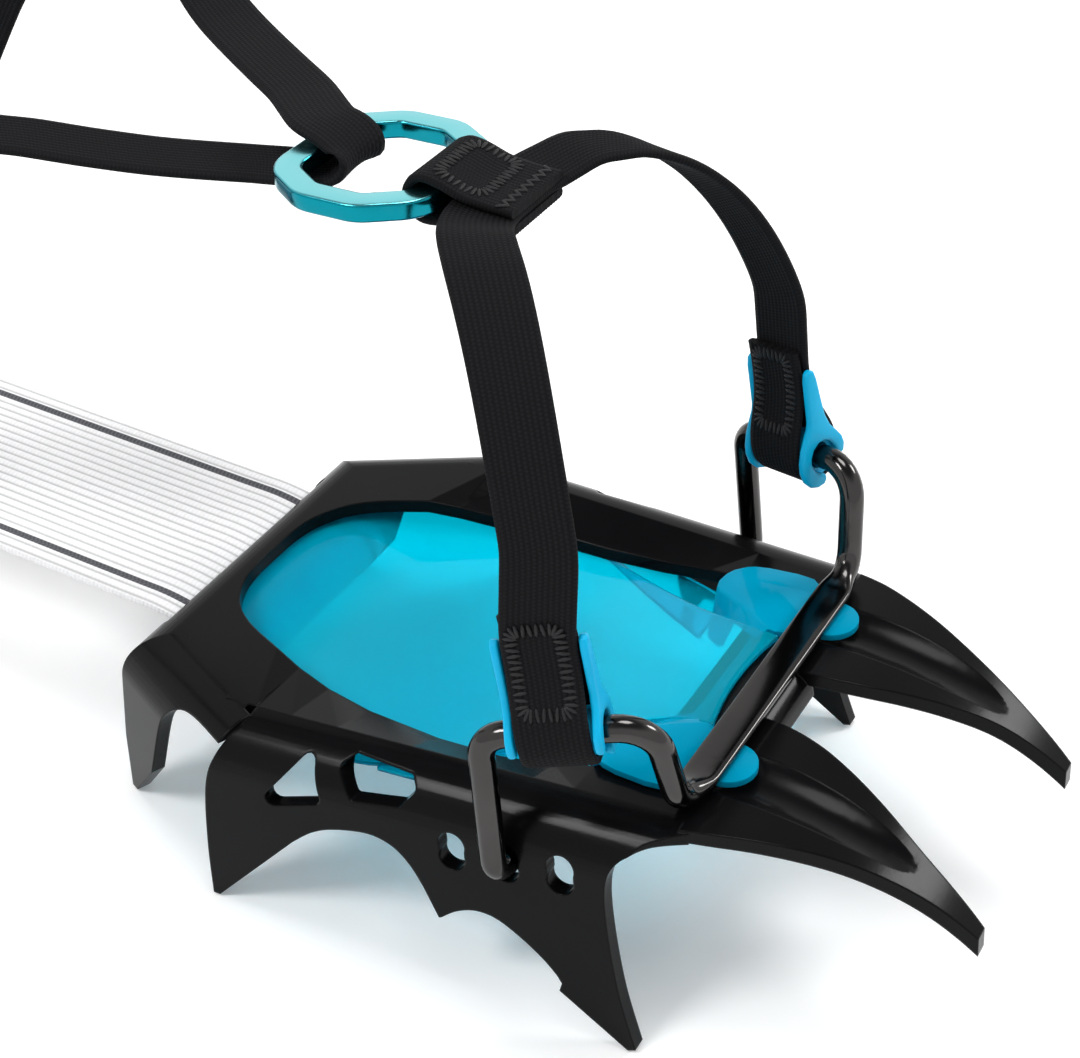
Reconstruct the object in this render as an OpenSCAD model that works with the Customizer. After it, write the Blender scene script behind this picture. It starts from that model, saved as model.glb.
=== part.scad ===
// Mountaineering crampon for the right foot: a front frame with two forward points, a heel frame,
// a webbing link between them, a wire toe bail with an instep strap yoke, and a heel lever.
// Units are millimetres. +X points to the toe, +Y to the inner side of the foot, +Z up, ground at z = 0.

/* [Frames] */
// Sheet thickness of both stamped frames
plate_t = 2.6; // [2:0.1:3.2]
// Height of the front frame's top at the toe
front_h = 43.5; // [38:0.5:50]
// Toe rise of the front frame in degrees
toe_rise = 5.3; // [0:0.1:9]
// Half width of the front frame at the toe, to the sharp outer corner
front_half_w = 41.4; // [36:0.2:46]
// Toe-in of each side wall, in degrees
toe_in = 4.6; // [0:0.1:8]
// Outward lean of the side walls, in degrees
wall_lean = 5; // [2:0.5:10]
// Outer radius of the frame bends
bend_r = 9.5; // [6:0.1:12]
// Bend radius of the forward points
point_r = 59; // [44:1:64]
// Reach of the forward points ahead of the toe
point_reach = 41.6; // [30:0.2:50]

/* [Toe bail] */
// Bail wire diameter
wire_d = 4.3; // [3.5:0.1:5]
// Width of the flat middle of the bail
strip_w = 6; // [5:0.1:9]
// Thickness of the flat middle of the bail
strip_t = 1.6; // [1.2:0.1:2.2]
// Spacing of the three bail holes
hole_pitch = 9.6; // [8:0.1:12]
// Clearance all round the wire in its holes and sleeves
wire_play = 0.25; // [0.15:0.05:0.6]

/* [Webbing] */
// Width of the instep and ankle webbing
web_w = 11.5; // [10:0.5:16]
// Thickness of the instep and ankle webbing
web_t = 1.6; // [1.2:0.1:2.2]
// Width of the link webbing
link_w = 44; // [36:1:48]
// Thickness of the link webbing
link_t = 1.8; // [1.4:0.1:2.4]
// Height of the middle of the link webbing above ground
link_z = 30; // [27:0.5:31]
// Clear gap between pieces that don't touch
gap = 0.35; // [0.3:0.05:0.8]

/* [Ring] */
// Ring length front to back
ring_l = 29; // [26:1:36]
// Ring width side to side
ring_w = 32; // [32:1:42]
// Ring bar width
ring_bar = 4; // [3.6:0.1:5]
// Ring thickness
ring_t = 3; // [3:0.1:4.5]

/* [Heel] */
// Distance from the toe strip back to the middle of the heel frame
heel_back = 252; // [236:1:270]
// Height of the heel frame's top
heel_h = 34.6; // [34:0.2:40]
// Half length of the flat heel deck
heel_half_l = 34; // [30:0.5:40]
// Half width of the flat heel deck
heel_half_w = 30; // [26:0.5:34]
// Height of the lever axle above the heel deck
axle_up = 26; // [20:0.5:34]
// Lever length above its axle
lever_l = 66; // [54:1:76]
// Lever width
lever_w = 28; // [24:0.5:32]
// Link cam pin diameter
cam_pin_d = 4; // [3:0.1:5]
// Running clearance of the cam and of the lever on their axles
run_play = 0.08; // [0.05:0.01:0.1]

/* [Hidden] */
$fn = 64;

// Derived sizes of the front frame
side_tl = bend_r * tan((90 - wall_lean) / 2);
rear_lean = 7;
rear_tl = bend_r * tan((90 - rear_lean) / 2);
rear_x = -105.5;
corner_y = 28.8;
notch = [-81.5, 40.4];
rear_a = atan2(notch[1] - corner_y, notch[0] - rear_x);
hole_d = wire_d + 2 * wire_play;
bail_x = -3 * hole_pitch;
bail_z = -10.6;
skin_t = 1.1;
strip_z = gap + skin_t + gap + strip_t / 2;
bail_low = gap + wire_d / 2;
heel_bend = 8;
heel_lean = 6;
heel_tl = heel_bend * tan((90 - heel_lean) / 2);
seam = 1;
heel_x = -heel_back;
axle = [-54, axle_up];
mid_x = (point_reach + 2.2 + heel_x + axle[0] - 10.4) / 2;

// Vectors, arcs and splines
function unit(v) = v / norm(v);
function mix(a, b, t) = a + (b - a) * t;
function knot(a, b, c, d, t) = 0.5 * (2 * b + (c - a) * t + (2 * a - 5 * b + 4 * c - d) * t * t
  + (3 * b - a - 3 * c + d) * t * t * t);
function pick(p, i) = p[max(0, min(len(p) - 1, i))];
function smooth(p, n = 5) = concat(
  [for (i = [0 : len(p) - 2]) for (k = [0 : n - 1])
    knot(pick(p, i - 1), p[i], p[i + 1], pick(p, i + 2), k / n)], [p[len(p) - 1]]);
function bezier(a, b, c, d, t) = a * pow(1 - t, 3) + b * 3 * t * pow(1 - t, 2)
  + c * 3 * t * t * (1 - t) + d * pow(t, 3);
function turn(a, b, c, r, n) = let(u = unit(a - b), v = unit(c - b), h = acos(u * v) / 2,
  m = b + unit(u + v) * r / sin(h), s = b + u * r / tan(h), e = b + v * r / tan(h),
  p = s - m, q = e - m, w = acos(max(-1, min(1, (p * q) / r / r))))
  [for (i = [0 : n]) m + (p * sin(w * (1 - i / n)) + q * sin(w * i / n)) / sin(w)];
function rounded(p, r, n = 5) = [for (i = [0 : len(p) - 1])
  each turn(p[(i + len(p) - 1) % len(p)], p[i], p[(i + 1) % len(p)], r, n)];
function mirror_y(p) = [for (i = [len(p) - 1 : -1 : 0]) [p[i][0], -p[i][1]]];
function flip(v) = [v[0], -v[1], v[2]];
function ground(x) = -(front_h + x * sin(toe_rise)) / cos(toe_rise);
function ridge(x) = front_half_w - side_tl - x * tan(toe_in);
// Point of the front frame in the ground frame
function lifted(v) = [v[0] * cos(toe_rise) - v[2] * sin(toe_rise), v[1],
  front_h + v[0] * sin(toe_rise) + v[2] * cos(toe_rise)];

module place() translate([-mid_x, 0, 0]) children();
module front_frame() translate([0, 0, front_h]) rotate([0, -toe_rise, 0]) children();
module heel_frame() translate([heel_x, 0, heel_h]) children();
module both() { children(); mirror([0, 1, 0]) children(); }
// Turns a shape drawn in XY and raised in Z so that it lies in YZ and runs along X
module along_x() multmatrix([[0, 0, 1, 0], [1, 0, 0, 0], [0, 1, 0, 0], [0, 0, 0, 1]]) children();
// Turns a shape drawn in XY and raised in Z so that it lies in XZ and runs along Y
module along_y(y0, l, p) translate([0, y0 + l, 0]) rotate([90, 0, 0]) linear_extrude(l) polygon(p);

// Flat sheet end bent down: runs in from the flat, turns down and runs on as a wall
function swing(r, a0, a1, n) = [for (i = [0 : n]) let(a = a0 + (a1 - a0) * i / n) [r * cos(a),
    r * sin(a)]];
module bent_sheet(l, r, lean, depth, n = 14, lead = 0) {
  tl = r * tan((90 - lean) / 2);
  d = [sin(lean), -cos(lean)] * depth;
  o = swing(r, 90, lean, n);
  i = swing(r - plate_t, lean, 90, n);
  flat = lead > 0 ? [[-lead, r - plate_t], [-lead, r]] : [];
  along_x() translate([-tl, -r, 0]) linear_extrude(l) polygon(concat(o, [o[n] + d, i[0] + d], i, flat));
}

// Round wire along a polyline with turned corners
module rod(a, b, d) {
  z = unit(b - a);
  x = unit(abs(z[2]) < 0.9 ? cross([0, 0, 1], z) : cross([1, 0, 0], z));
  y = cross(z, x);
  multmatrix([[x[0], y[0], z[0], a[0]], [x[1], y[1], z[1], a[1]], [x[2], y[2], z[2], a[2]], [0, 0, 0, 1]])
    cylinder(h = norm(b - a), d = d, $fn = 40);
}
module elbow(a, b, c, r, d) {
  u = unit(a - b);
  v = unit(c - b);
  h = acos(u * v) / 2;
  m = b + unit(u + v) * r / sin(h);
  x = unit(b + u * r / tan(h) - m);
  z = unit(cross(x, b + v * r / tan(h) - m));
  y = cross(z, x);
  multmatrix([[x[0], y[0], z[0], m[0]], [x[1], y[1], z[1], m[1]], [x[2], y[2], z[2], m[2]], [0, 0, 0, 1]])
    rotate_extrude(angle = 180 - 2 * h) translate([r, 0]) circle(d = d, $fn = 40);
}
function trim(p, r, i) = i == 0 || i == len(p) - 1 ? 0
  : r[i] / tan(acos(unit(p[i - 1] - p[i]) * unit(p[i + 1] - p[i])) / 2);
module wire(p, r, d) {
  // Bends swell a little and take in the ends of the straight lengths
  for (i = [0 : len(p) - 2]) {
    u = unit(p[i + 1] - p[i]);
    rod(p[i] + u * max(0, trim(p, r, i) - 0.25), p[i + 1] - u * max(0, trim(p, r, i + 1) - 0.25), d);
  }
  for (i = [1 : len(p) - 2]) elbow(p[i - 1], p[i], p[i + 1], r[i], d + 0.06);
}

// Flat webbing along a path, its width along the given direction at each point
function heading(p, i) = unit(i == 0 ? p[1] - p[0] : i == len(p) - 1 ? p[i] - p[i - 1] : p[i + 1]
    - p[i - 1]);
function band(p, s, i, w, t) = let(f = heading(p, i), a = unit(s - (s * f) * f), n = cross(f, a))
  [p[i] - a * w / 2 - n * t / 2, p[i] + a * w / 2 - n * t / 2,
   p[i] + a * w / 2 + n * t / 2, p[i] - a * w / 2 + n * t / 2];
module webbing(p, s, w, t) {
  m = len(p) - 1;
  v = [for (i = [0 : m]) each band(p, s[i], i, w, t)];
  f = [for (i = [0 : m - 1]) for (k = [0 : 3]) each [
    [4 * i + k, 4 * i + 4 + k, 4 * i + 4 + (k + 1) % 4], [4 * i + k, 4 * i + 4 + (k + 1) % 4, 4 * i
        + (k + 1) % 4]]];
  polyhedron(v, concat([[0, 1, 2], [0, 2, 3]], f, [[4 * m + 2, 4 * m + 1, 4 * m], [4 * m + 3, 4 * m
      + 2, 4 * m]]));
}

// Front frame, drawn flat with its top at z = 0 and the toe strip's front edge at x = 0
opening_rear = smooth([[-104.6, 0], [-104.4, 6], [-103.2, 11.5], [-100, 16.8], [-94.5, 20.9], [-86,
    24.6]]);
// Inner edge of each rail: place along the frame, half width and drop
rail = [[-86, 24.6, 0], [-80, 26.5, 1.1], [-73, 28, 2.3], [-64, 29, 3.3], [-50, 29.4, 4], [-38, 29.4,
    3.5],
  [-28, 28.9, 2.1], [-21, 27.6, 0.8], [-17, 25.4, 0.2], [-14, 21, 0]];
side_rear = smooth([[-79.6, 1.5], [-79.9, -0.8], [-82.2, -3.4], [-84.7, -8.8], [-86, -15], [-86.9, -26],
  [-87.1, ground(-87)]]);
side_arch = smooth([[-69, -18.8], [-65, -15.6], [-60.6, -13.6], [-54, -12.4], [-49.5, -13.6], [-46.4,
    -16.6],
  [-44.2, -20.4]]);
side_bay = smooth([[-41.2, -25.9], [-38.2, -23.6], [-34.5, -22.3], [-30.6, -22.9], [-26, -25.8],
    [-22.5, -28.8],
  [-20.4, -31.2]]);
side_front = smooth([[-6.8, ground(-7) + 0.6], [-9.2, -33], [-10.7, -24], [-11.6, -15], [-11.5, -9.5],
  [-10.4, -6], [-8, -3.8], [-4.5, -2.8], [-0.4, -2.65]]);
side_outline = concat(side_rear, [[-85.8, ground(-86)]], side_arch, [[-41.7, -26.1]], side_bay,
  [[-19.6, -32.6], [-20.1, -34.3], [-8.2, ground(-8)]], side_front, [[-0.4, 1.5]]);
rear_tip = ground(-115.7);
rear_outline = concat([[-12, 1.5], [-8.5, -12], [-7, -22], [-6, rear_tip], [-4, rear_tip]],
  smooth([[3.8, -24], [8.4, -12], [11.4, -6.8], [15.2, -3.8], [20, -2.8], [30, -2.7]]), [[30, 1.5]]);
point_outer = smooth([[-2, 35.9], [3, 34.7], [8, 33], [14, 30.8], [23, 27.4], [33, 24.2], [point_reach,
    22.2]]);
point_inner = smooth([[point_reach, 19.5], [31, 16.9], [22.4, 13.3], [16, 10.6], [10, 8.4], [4, 7],
    [-2, 6.4]]);

// Upright oblong hole for the bail's hook
module bail_hole(i) translate([-hole_pitch * (i + 2), 65, bail_z + 0.6 - 0.6 * i]) rotate([90, 0, 0]) {
  translate([0, 1.3, 0]) cylinder(h = 45, d = hole_d);
  translate([0, -1.3, 0]) cylinder(h = 45, d = hole_d);
  translate([0.12 - hole_d / 2, -1.3, 0]) cube([hole_d - 0.24, 2.6, 45]);
}
module side_wing() intersection() {
  translate([0, front_half_w, 0]) rotate([0, 0, -toe_in]) translate([-92, 0, 0])
    bent_sheet(96, bend_r, wall_lean, 48);
  difference() {
    along_y(20, 45, side_outline);
    along_y(20, 45, rounded([[-76.4, -13.4], [-65.2, -0.4], [-62.3, -9]], 1.4));
    along_y(20, 45, rounded([[-60.2, -2.2], [-57.8, -0.8], [-47, -1.3], [-45.4, -2.8], [-48, -5.7],
      [-56.8, -6.7]], 0.8));
    for (i = [0 : 2]) bail_hole(i);
    linear_extrude(10, center = true) polygon(concat([[-12, 60], [-11.5, 47]], smooth([[-10, 43],
        [-6.6, 39.4],
      [-3, 37.2], [0, 35.6], [4, 34]]), [[20, 34], [20, 60]]));
  }
}
module rear_wing() intersection() {
  translate([rear_x, corner_y, 0]) rotate([0, 0, rear_a]) intersection() {
    translate([-14, rear_tl, 0]) bent_sheet(43, bend_r, rear_lean, 40);
    along_y(-1, 30, rear_outline);
  }
  translate([rear_x, corner_y, -60]) rotate([0, 0, 135 + rear_a / 2]) translate([-60, -100, 0])
      cube([160, 100, 80]);
}
module rear_bar() intersection() {
  translate([rear_x, -60, 0]) rotate([0, 0, 90]) translate([0, bend_r, 0])
    bent_sheet(120, bend_r, 0, 3.5);
  difference() {
    translate([-130, -60, -40]) cube([60, 120, 50]);
    both() translate([rear_x, corner_y, -60]) rotate([0, 0, 135 + rear_a / 2]) translate([-60, -100, 0])
      cube([160, 100, 80]);
  }
}
module rail_lip() {
  n = len(rail) - 1;
  v = [for (r = rail) each [[r[0], r[1], -r[2]], [r[0], ridge(r[0]), 0], [r[0], ridge(r[0]), -plate_t],
    [r[0], r[1], -r[2] - plate_t]]];
  f = [for (i = [0 : n - 1]) for (k = [0 : 3]) each [
    [4 * i + k, 4 * i + (k + 1) % 4, 4 * i + 4 + (k + 1) % 4], [4 * i + k, 4 * i + 4 + (k + 1) % 4,
        4 * i + 4 + k]]];
  polyhedron(v, concat([[0, 2, 1], [0, 3, 2]], f, [[4 * n, 4 * n + 1, 4 * n + 2], [4 * n, 4 * n + 2,
      4 * n + 3]]));
}
module forward_point() difference() {
  intersection() {
    translate([0, 4, -point_r]) rotate([-90, 0, 0]) rotate([0, 0, -96]) rotate_extrude(angle = 66,
        $fn = 120)
      translate([point_r - plate_t, 0]) square([plate_t, 36]);
    linear_extrude(80, center = true) polygon(concat(point_outer, point_inner));
  }
  // Pressed valley, deepest at the root and running out toward the tip
  translate([0, 20.6, -74]) rotate([-90, 0, 0]) rotate([0, 0, -95]) rotate_extrude(angle = 40, $fn = 120)
    translate([74 + 9 - 1.8, 0]) circle(r = 9);
}
module front_plate_body() {
  translate([0, 0, -plate_t]) linear_extrude(plate_t) difference() {
    polygon([[rear_x, -corner_y], [rear_x, corner_y], notch, [notch[0], ridge(notch[0])], [-86,
        ridge(-86)],
      [-86, -ridge(-86)], [notch[0], -ridge(notch[0])], [notch[0], -notch[1]]]);
    polygon(concat(mirror_y(opening_rear), opening_rear, [[-60, 30], [-60, -30]]));
  }
  translate([0, 0, -plate_t]) linear_extrude(plate_t)
    polygon([[-14, ridge(-14)], [-1, ridge(-1)], [-1, 6.4], [-3.5, 6.4], [-3.5, -6.4], [-1, -6.4],
      [-1, -ridge(-1)], [-14, -ridge(-14)]]);
  // Lip between the forward points, turned down
  translate([-3.5, 8, 0]) rotate([0, 0, -90]) translate([0, 4.6 * tan(41), 0]) bent_sheet(16, 4.6, 8,
      1.5, 8);
  both() {
    rail_lip();
    side_wing();
    rear_wing();
    forward_point();
  }
  rear_bar();
}
module front_plate() color([0.05, 0.05, 0.06]) place() front_frame() difference() {
  front_plate_body();
  // Slot for the link webbing through the rolled rear bar
  translate([rear_x - 19.5, -link_w / 2 - 3, -5.6]) cube([19, link_w + 6, 4.2]);
}

// Flexible plate that keeps snow from packing under the front frame
ball_t = 1.6;
ball_low = -7.2;
ball_half = smooth([[-107, 18], [-103.5, 23.5], [-96, 28.5], [-86, 33], [-77, 36.4], [-62, 37.2],
  [-48, 36.4], [-43.5, 33], [-41, 29], [-36, 28.7], [-30, 28.4], [-24, 27.9]]);
ball_ramp = [[-108, -3.2], [-100, -3.6], [-88, ball_low], [-42, ball_low], [-15.4, gap + skin_t], [-10,
    gap + skin_t]];
// Round tab of the deck under each end of the toe strip: place and radius
ball_tab = [-0.9, 20.2, 4.7];
ball_deck = concat([[-24, 14.4], [-24, 27.6]], smooth([[-22.4, 30.2], [-18, 31.5], [-11, 31], [-7.4,
    29.6], [-6.2, 27.4], [-5.8, 25.6], [-3, 24.9]]),
  [for (a = [80 : -20 : -80]) [ball_tab[0] + ball_tab[2] * cos(a), ball_tab[1] + ball_tab[2] * sin(a)]],
  smooth([[-3.6, 15.6], [-6.8, 14.2], [-8.6, 12], [-10, 7], [-10.4, 0]]), [[-15.4, 0], [-15.4, 14.4]]);
module front_antiball_plate() color([0.0, 0.62, 0.82]) place() front_frame() {
  intersection() {
    along_y(-45, 90, concat(ball_ramp, [for (i = [len(ball_ramp) - 1 : -1 : 0]) ball_ramp[i] - [0,
        i > 3 ? skin_t : ball_t]]));
    translate([0, 0, -20]) linear_extrude(40) {
      polygon(concat(ball_half, mirror_y(ball_half)));
      translate([-30, -16]) square([18, 32]);
    }
  }
  intersection() {
    along_y(-45, 90, [[-43, ball_low], [-24, ball_low], [-22.4, ball_low], [-22.4, ball_low - ball_t],
        [-43, ball_low - ball_t]]);
    translate([0, 0, -20]) linear_extrude(40) polygon([[-43, -36], [-43, 36], [-38, 33], [-30, 30.6],
        [-24, 29.6], [-22.4, 27],
      [-22.4, -27], [-24, -29.6], [-30, -30.6], [-38, -33]]);
  }
  both() {
    translate([0, 0, gap]) linear_extrude(skin_t) polygon(ball_deck);
    translate([-24, 14.4, ball_low - ball_t]) cube([ball_t, 13, -ball_low + ball_t + gap + skin_t]);
    along_y(14.4, ball_t, [[-42, ball_low - ball_t], [-24, ball_low - ball_t], [-15.6, gap], [-15.6,
        gap + skin_t],
      [-24, gap + skin_t], [-24, -1.4], [-42, ball_low]]);
  }
}

// Toe bail: round wire hooked into the side walls, hammered flat across the toe
bail_top = [[-4.2, 37.4, 21.1], [-29.2, 46.6, 17.6]];
bail_half = [[-2.9, 25.5, strip_z], [-3.1, 33, bail_low], bail_top[0], bail_top[1], [bail_x, 47.6,
    bail_z],
  [bail_x, 37, bail_z]];
bail_turn = [0, 5, 6, 4.5, 3.4, 0];
module toe_bail() color([0.2, 0.2, 0.22]) place() front_frame() {
  both() wire(bail_half, bail_turn, wire_d);
  translate([-2.9 - strip_w / 2, -27, strip_z - strip_t / 2]) cube([strip_w, 54, strip_t]);
}

// Frame of each keeper: X along the bail, Z up the strap
yoke = [[-16.7, 42, 64], [-22.9, 45.2, 93.1], [-33, 33, 136], [-60.2, 4, 121]];
keeper_u = unit(lifted(bail_top[0]) - lifted(bail_top[1]));
keeper_c = lifted(mix(bail_top[1], bail_top[0], 0.47));
keeper_r = unit(bezier(yoke[0], yoke[1], yoke[2], yoke[3], 0.3) - keeper_c);
keeper_z = unit(keeper_r - (keeper_r * keeper_u) * keeper_u);
keeper_y = cross(keeper_z, keeper_u);
function keeper_at(v) = keeper_c + keeper_u * v[0] + keeper_y * v[1] + keeper_z * v[2];
module keeper_frame() multmatrix([for (i = [0 : 2]) [keeper_u[i], keeper_y[i], keeper_z[i],
    keeper_c[i]]]) children();
tube_r = hole_d / 2 + 1.3;
flange_t = 1.5;
loop_r = tube_r + 0.2 + web_t / 2;
flange_r = loop_r + web_t / 2 + 0.7;
flange_shape = concat(swing(flange_r, 170, 370, 20), smooth([[flange_r * 0.94, 2.5], [4.3, 7], [3.4,
    12], [2.6, 16]]), [[1.4, 17.4]],
  [[-1.4, 17.4]], smooth([[-2.6, 16], [-3.4, 12], [-4.3, 7], [-flange_r * 0.94, 2.5]]));
module keeper() difference() {
  union() {
    translate([-web_w / 2 - 0.3, 0, 0]) rotate([0, 90, 0]) cylinder(h = web_w + 0.6, r = tube_r);
    for (x = [-web_w / 2 - 0.3 - flange_t, web_w / 2 + 0.3]) translate([x, 0, 0]) along_x()
        linear_extrude(flange_t)
      polygon(flange_shape);
  }
  translate([-20, 0, 0]) rotate([0, 90, 0]) cylinder(h = 40, d = hole_d);
}
module far_bail_keeper() color([0.0, 0.68, 0.9]) place() keeper_frame() keeper();
module near_bail_keeper() color([0.0, 0.68, 0.9]) place() mirror([0, 1, 0]) keeper_frame() keeper();

// Width of the sewn tab that joins the instep straps and holds the ring
tab_w = web_w + 4;

// Instep straps: a sewn loop round the keeper, then up and over to the ring tab
lap = web_t / 2 + 0.06;
loop_path = concat([[0, -lap, 23], [0, -lap, 18], [0, -lap - 0.3, 14], [0, -2.6, 8.5], [0, -loop_r
    + 0.5, 3.5]],
  [for (a = [180 : 20 : 360]) [0, loop_r * cos(a), loop_r * sin(a)]],
  [[0, loop_r - 0.5, 3.5], [0, 2.6, 8.5], [0, lap + 0.3, 14], [0, lap, 18]]);
strap_run = concat([for (v = loop_path) keeper_at(v)],
  [for (i = [0 : 13]) bezier(yoke[0], yoke[1], yoke[2], yoke[3], 0.3 + 0.47 * i / 13)],
  [[-48.6, 15.8, 123.6], [-50.4, tab_w / 2 + 5.3, 122.5], [-51.6, tab_w / 2 + 3.5, 121.9]]);
strap_side = [for (i = [0 : len(strap_run) - 1])
  mix(keeper_u, [0.96, -0.25, 0.05], max(0, min(1, (i - 18) / 12)))];
module far_instep_strap() color([0.06, 0.06, 0.07]) place() webbing(strap_run, strap_side, web_w, web_t);
module near_instep_strap() color([0.06, 0.06, 0.07]) place() mirror([0, 1, 0])
  webbing(strap_run, strap_side, web_w, web_t);

// Ring and the sewn tab that holds it
ring_at = [-75, 0, 121];
ring_tilt = -3;
// Half length of the ring's straight bars, which the tab has to fit
ring_flat = tab_w / 2 + 1.9;
ring_bar_at = ring_at + [(ring_l - ring_bar) / 2 * cos(ring_tilt), 0, -(ring_l - ring_bar)
    / 2 * sin(ring_tilt)];
ring_back_at = ring_at - [(ring_l - ring_bar) / 2 * cos(ring_tilt), 0, -(ring_l - ring_bar)
    / 2 * sin(ring_tilt)];
tab_bore = norm([ring_bar, ring_t]) + 2 * gap;
function octagon(a, b, c, d) = [[a, b - d], [a - c, b], [c - a, b], [-a, b - d], [-a, d - b], [c - a,
    -b], [a - c, -b], [a, d - b]];
module instep_ring() color([0.1, 0.6, 0.65]) place() translate(ring_at) rotate([0, ring_tilt, 0])
  translate([0, 0, -ring_t / 2]) linear_extrude(ring_t) difference() {
    polygon(rounded(octagon(ring_l / 2, ring_w / 2, 9, ring_w / 2 - ring_flat), 2.2));
    polygon(rounded(octagon(ring_l / 2 - ring_bar, ring_w / 2 - ring_bar, 7.4,
        ring_w / 2 - ring_bar - ring_flat + 1.4), 1.6));
  }
module instep_ring_tab() color([0.07, 0.07, 0.08]) place() difference() {
  union() {
    translate(ring_bar_at - [0, tab_w / 2, 0]) rotate([-90, 0, 0]) cylinder(h = tab_w, d = tab_bore
        + 2 * web_t);
    translate([ring_bar_at[0], -tab_w / 2, ring_bar_at[2] - 2.4]) cube([16.2, tab_w, 4.6]);
  }
  translate(ring_bar_at - [0, 20, 0]) rotate([-90, 0, 0]) cylinder(h = 40, d = tab_bore);
}

// Ankle strap: sewn round the inner heel ear, forward to the ring, back to the buckle on the outer side
ear_a = 45;
ear_y = [heel_half_w + 4, heel_half_w + 4 + plate_t];
function ear_at(d, y) = [heel_x + d * sin(ear_a), y, heel_h + d * cos(ear_a)];
ear_mid = (ear_y[0] + ear_y[1]) / 2;
ear_o = plate_t / 2 + gap + web_t / 2;
ear_loop = [ear_at(46, ear_mid - lap), ear_at(38, ear_mid - lap), ear_at(34.5, ear_mid - ear_o + 0.4),
    ear_at(31, ear_mid - ear_o),
  ear_at(27, ear_mid - ear_o), ear_at(25.3, ear_mid - ear_o + 0.5), ear_at(24.4, ear_mid - 1),
      ear_at(24.4, ear_mid + 1),
  ear_at(25.3, ear_mid + ear_o - 0.5), ear_at(27, ear_mid + ear_o), ear_at(31, ear_mid + ear_o),
  ear_at(34.5, ear_mid + ear_o - 0.4), ear_at(38, ear_mid + lap), ear_at(46, ear_mid + lap)];
ear_side = [cos(ear_a), 0, -sin(ear_a)];
ankle_run = [[-209, 38.2, 80], [-199.5, 40.6, 98], [-189, 41.8, 115], [-175, 41.6, 128], [-159, 39.6,
    133.6],
  [-146, 36.4, 132.4], [-134.6, 31.6, 128.2], [-123.6, 25.8, 124.8], [-110, 18, 123.8], [-98, 11.2,
      123.4]];
turn_r = ring_t / 2 + gap + web_t / 2 + 0.6;
bight = [for (a = [100 : -20 : -100]) ring_back_at + [turn_r * 2.15 * cos(a), 1.6 + 2.2 * a / 100,
    turn_r * sin(a)]];
near_run = [[-97, -2.6, 116.6], [-110.5, -10.2, 117.8], [-122, -15.4, 119], [-135.5, -21.6, 120.6],
    [-150, -31, 120],
  [-165, -39, 113.4], [-181, -41.3, 102.4]];
buckle_c = [-194.6, -40.6, 90.8];
buckle_d = unit([0.72, -0.02, 0.66]);
buckle_y = unit([0, -1, 0] - (([0, -1, 0] * buckle_d) * buckle_d));
buckle_w = cross(buckle_y, buckle_d);
function buckle_at(d, y) = buckle_c + buckle_d * d + buckle_y * y;
buckle_loop = [buckle_at(12.5, -2.9), buckle_at(8, -3.35), buckle_at(1, -3.3), buckle_at(-2.6, -2.8),
    buckle_at(-4.2, -1.2),
  buckle_at(-4.2, 1.2), buckle_at(-2.6, 2.8), buckle_at(1, 3.3), buckle_at(8, 3.35), buckle_at(13,
      3.1), buckle_at(20, 2.5)];
tail_run = [[-166, -43.6, 115], [-157, -42.3, 119.6]];
ankle_path = concat(ear_loop, smooth(ankle_run, 3), bight, smooth(near_run, 3), buckle_loop, tail_run);
n_far = 3 * (len(ankle_run) - 1) + 1;
n_turn = len(bight);
function far_side(k) = k < 0.5 ? mix(ear_side, [0.5, 0.4, -0.76], k / 0.5) : mix([0.5, 0.4, -0.76],
    [0.46, 0.88, 0], min(1, (k - 0.5) / 0.25));
function near_side(k) = k < 0.5 ? [-0.4, 0.9, 0] : k < 0.75 ? mix([-0.4, 0.9, 0], [-0.45, 0.4, 0.8],
    (k - 0.5) / 0.25)
  : mix([-0.45, 0.4, 0.8], buckle_w, (k - 0.75) / 0.25);
ankle_side = concat([for (v = ear_loop) ear_side], [for (i = [0 : n_far - 1]) far_side(i / (n_far - 1))],
  [for (i = [0 : n_turn - 1]) mix([0.46, 0.88, 0], [-0.4, 0.9, 0], (i + 0.5) / n_turn)],
  [for (i = [0 : 3 * (len(near_run) - 1)]) near_side(i / (3 * (len(near_run) - 1)))],
  [for (v = buckle_loop) buckle_w], [for (v = tail_run) buckle_w]);
module ankle_strap() color([0.06, 0.06, 0.07]) place() webbing(ankle_path, ankle_side, web_w, web_t);
module buckle_frame() multmatrix([for (i = [0 : 2]) [buckle_w[i], buckle_d[i], buckle_y[i],
    buckle_c[i]]]) children();
module ankle_buckle() color([0.05, 0.05, 0.05]) place() buckle_frame() difference() {
  translate([0, 0, -2]) linear_extrude(4) polygon(rounded([[-10, -12], [10, -12], [10, 12], [-10, 12]],
      3));
  translate([-web_w / 2 - 0.5, -8.6, -5]) cube([web_w + 1, 6.6, 10]);
  translate([-web_w / 2 - 0.5, 2, -5]) cube([web_w + 1, 6.6, 10]);
}
near_ear = [for (v = ear_loop) flip(v)];
buckle_turn = [[-16, 2.9], [-11, 3.15], [-8.6, 3.15], [-7.79, 2.81], [-7.45, 2]];
buckle_low = concat([for (v = buckle_turn) buckle_at(v[0], v[1])], [buckle_at(-7.45, 0)],
  [for (i = [len(buckle_turn) - 1 : -1 : 0]) buckle_at(buckle_turn[i][0], -buckle_turn[i][1])]);
short_path = concat(near_ear, buckle_low);
short_side = [for (i = [0 : len(short_path) - 1]) mix(ear_side, -buckle_w, max(0, min(1, (i - 11) / 4)))];
module buckle_strap() color([0.06, 0.06, 0.07]) place() webbing(short_path, short_side, web_w, web_t);
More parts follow.
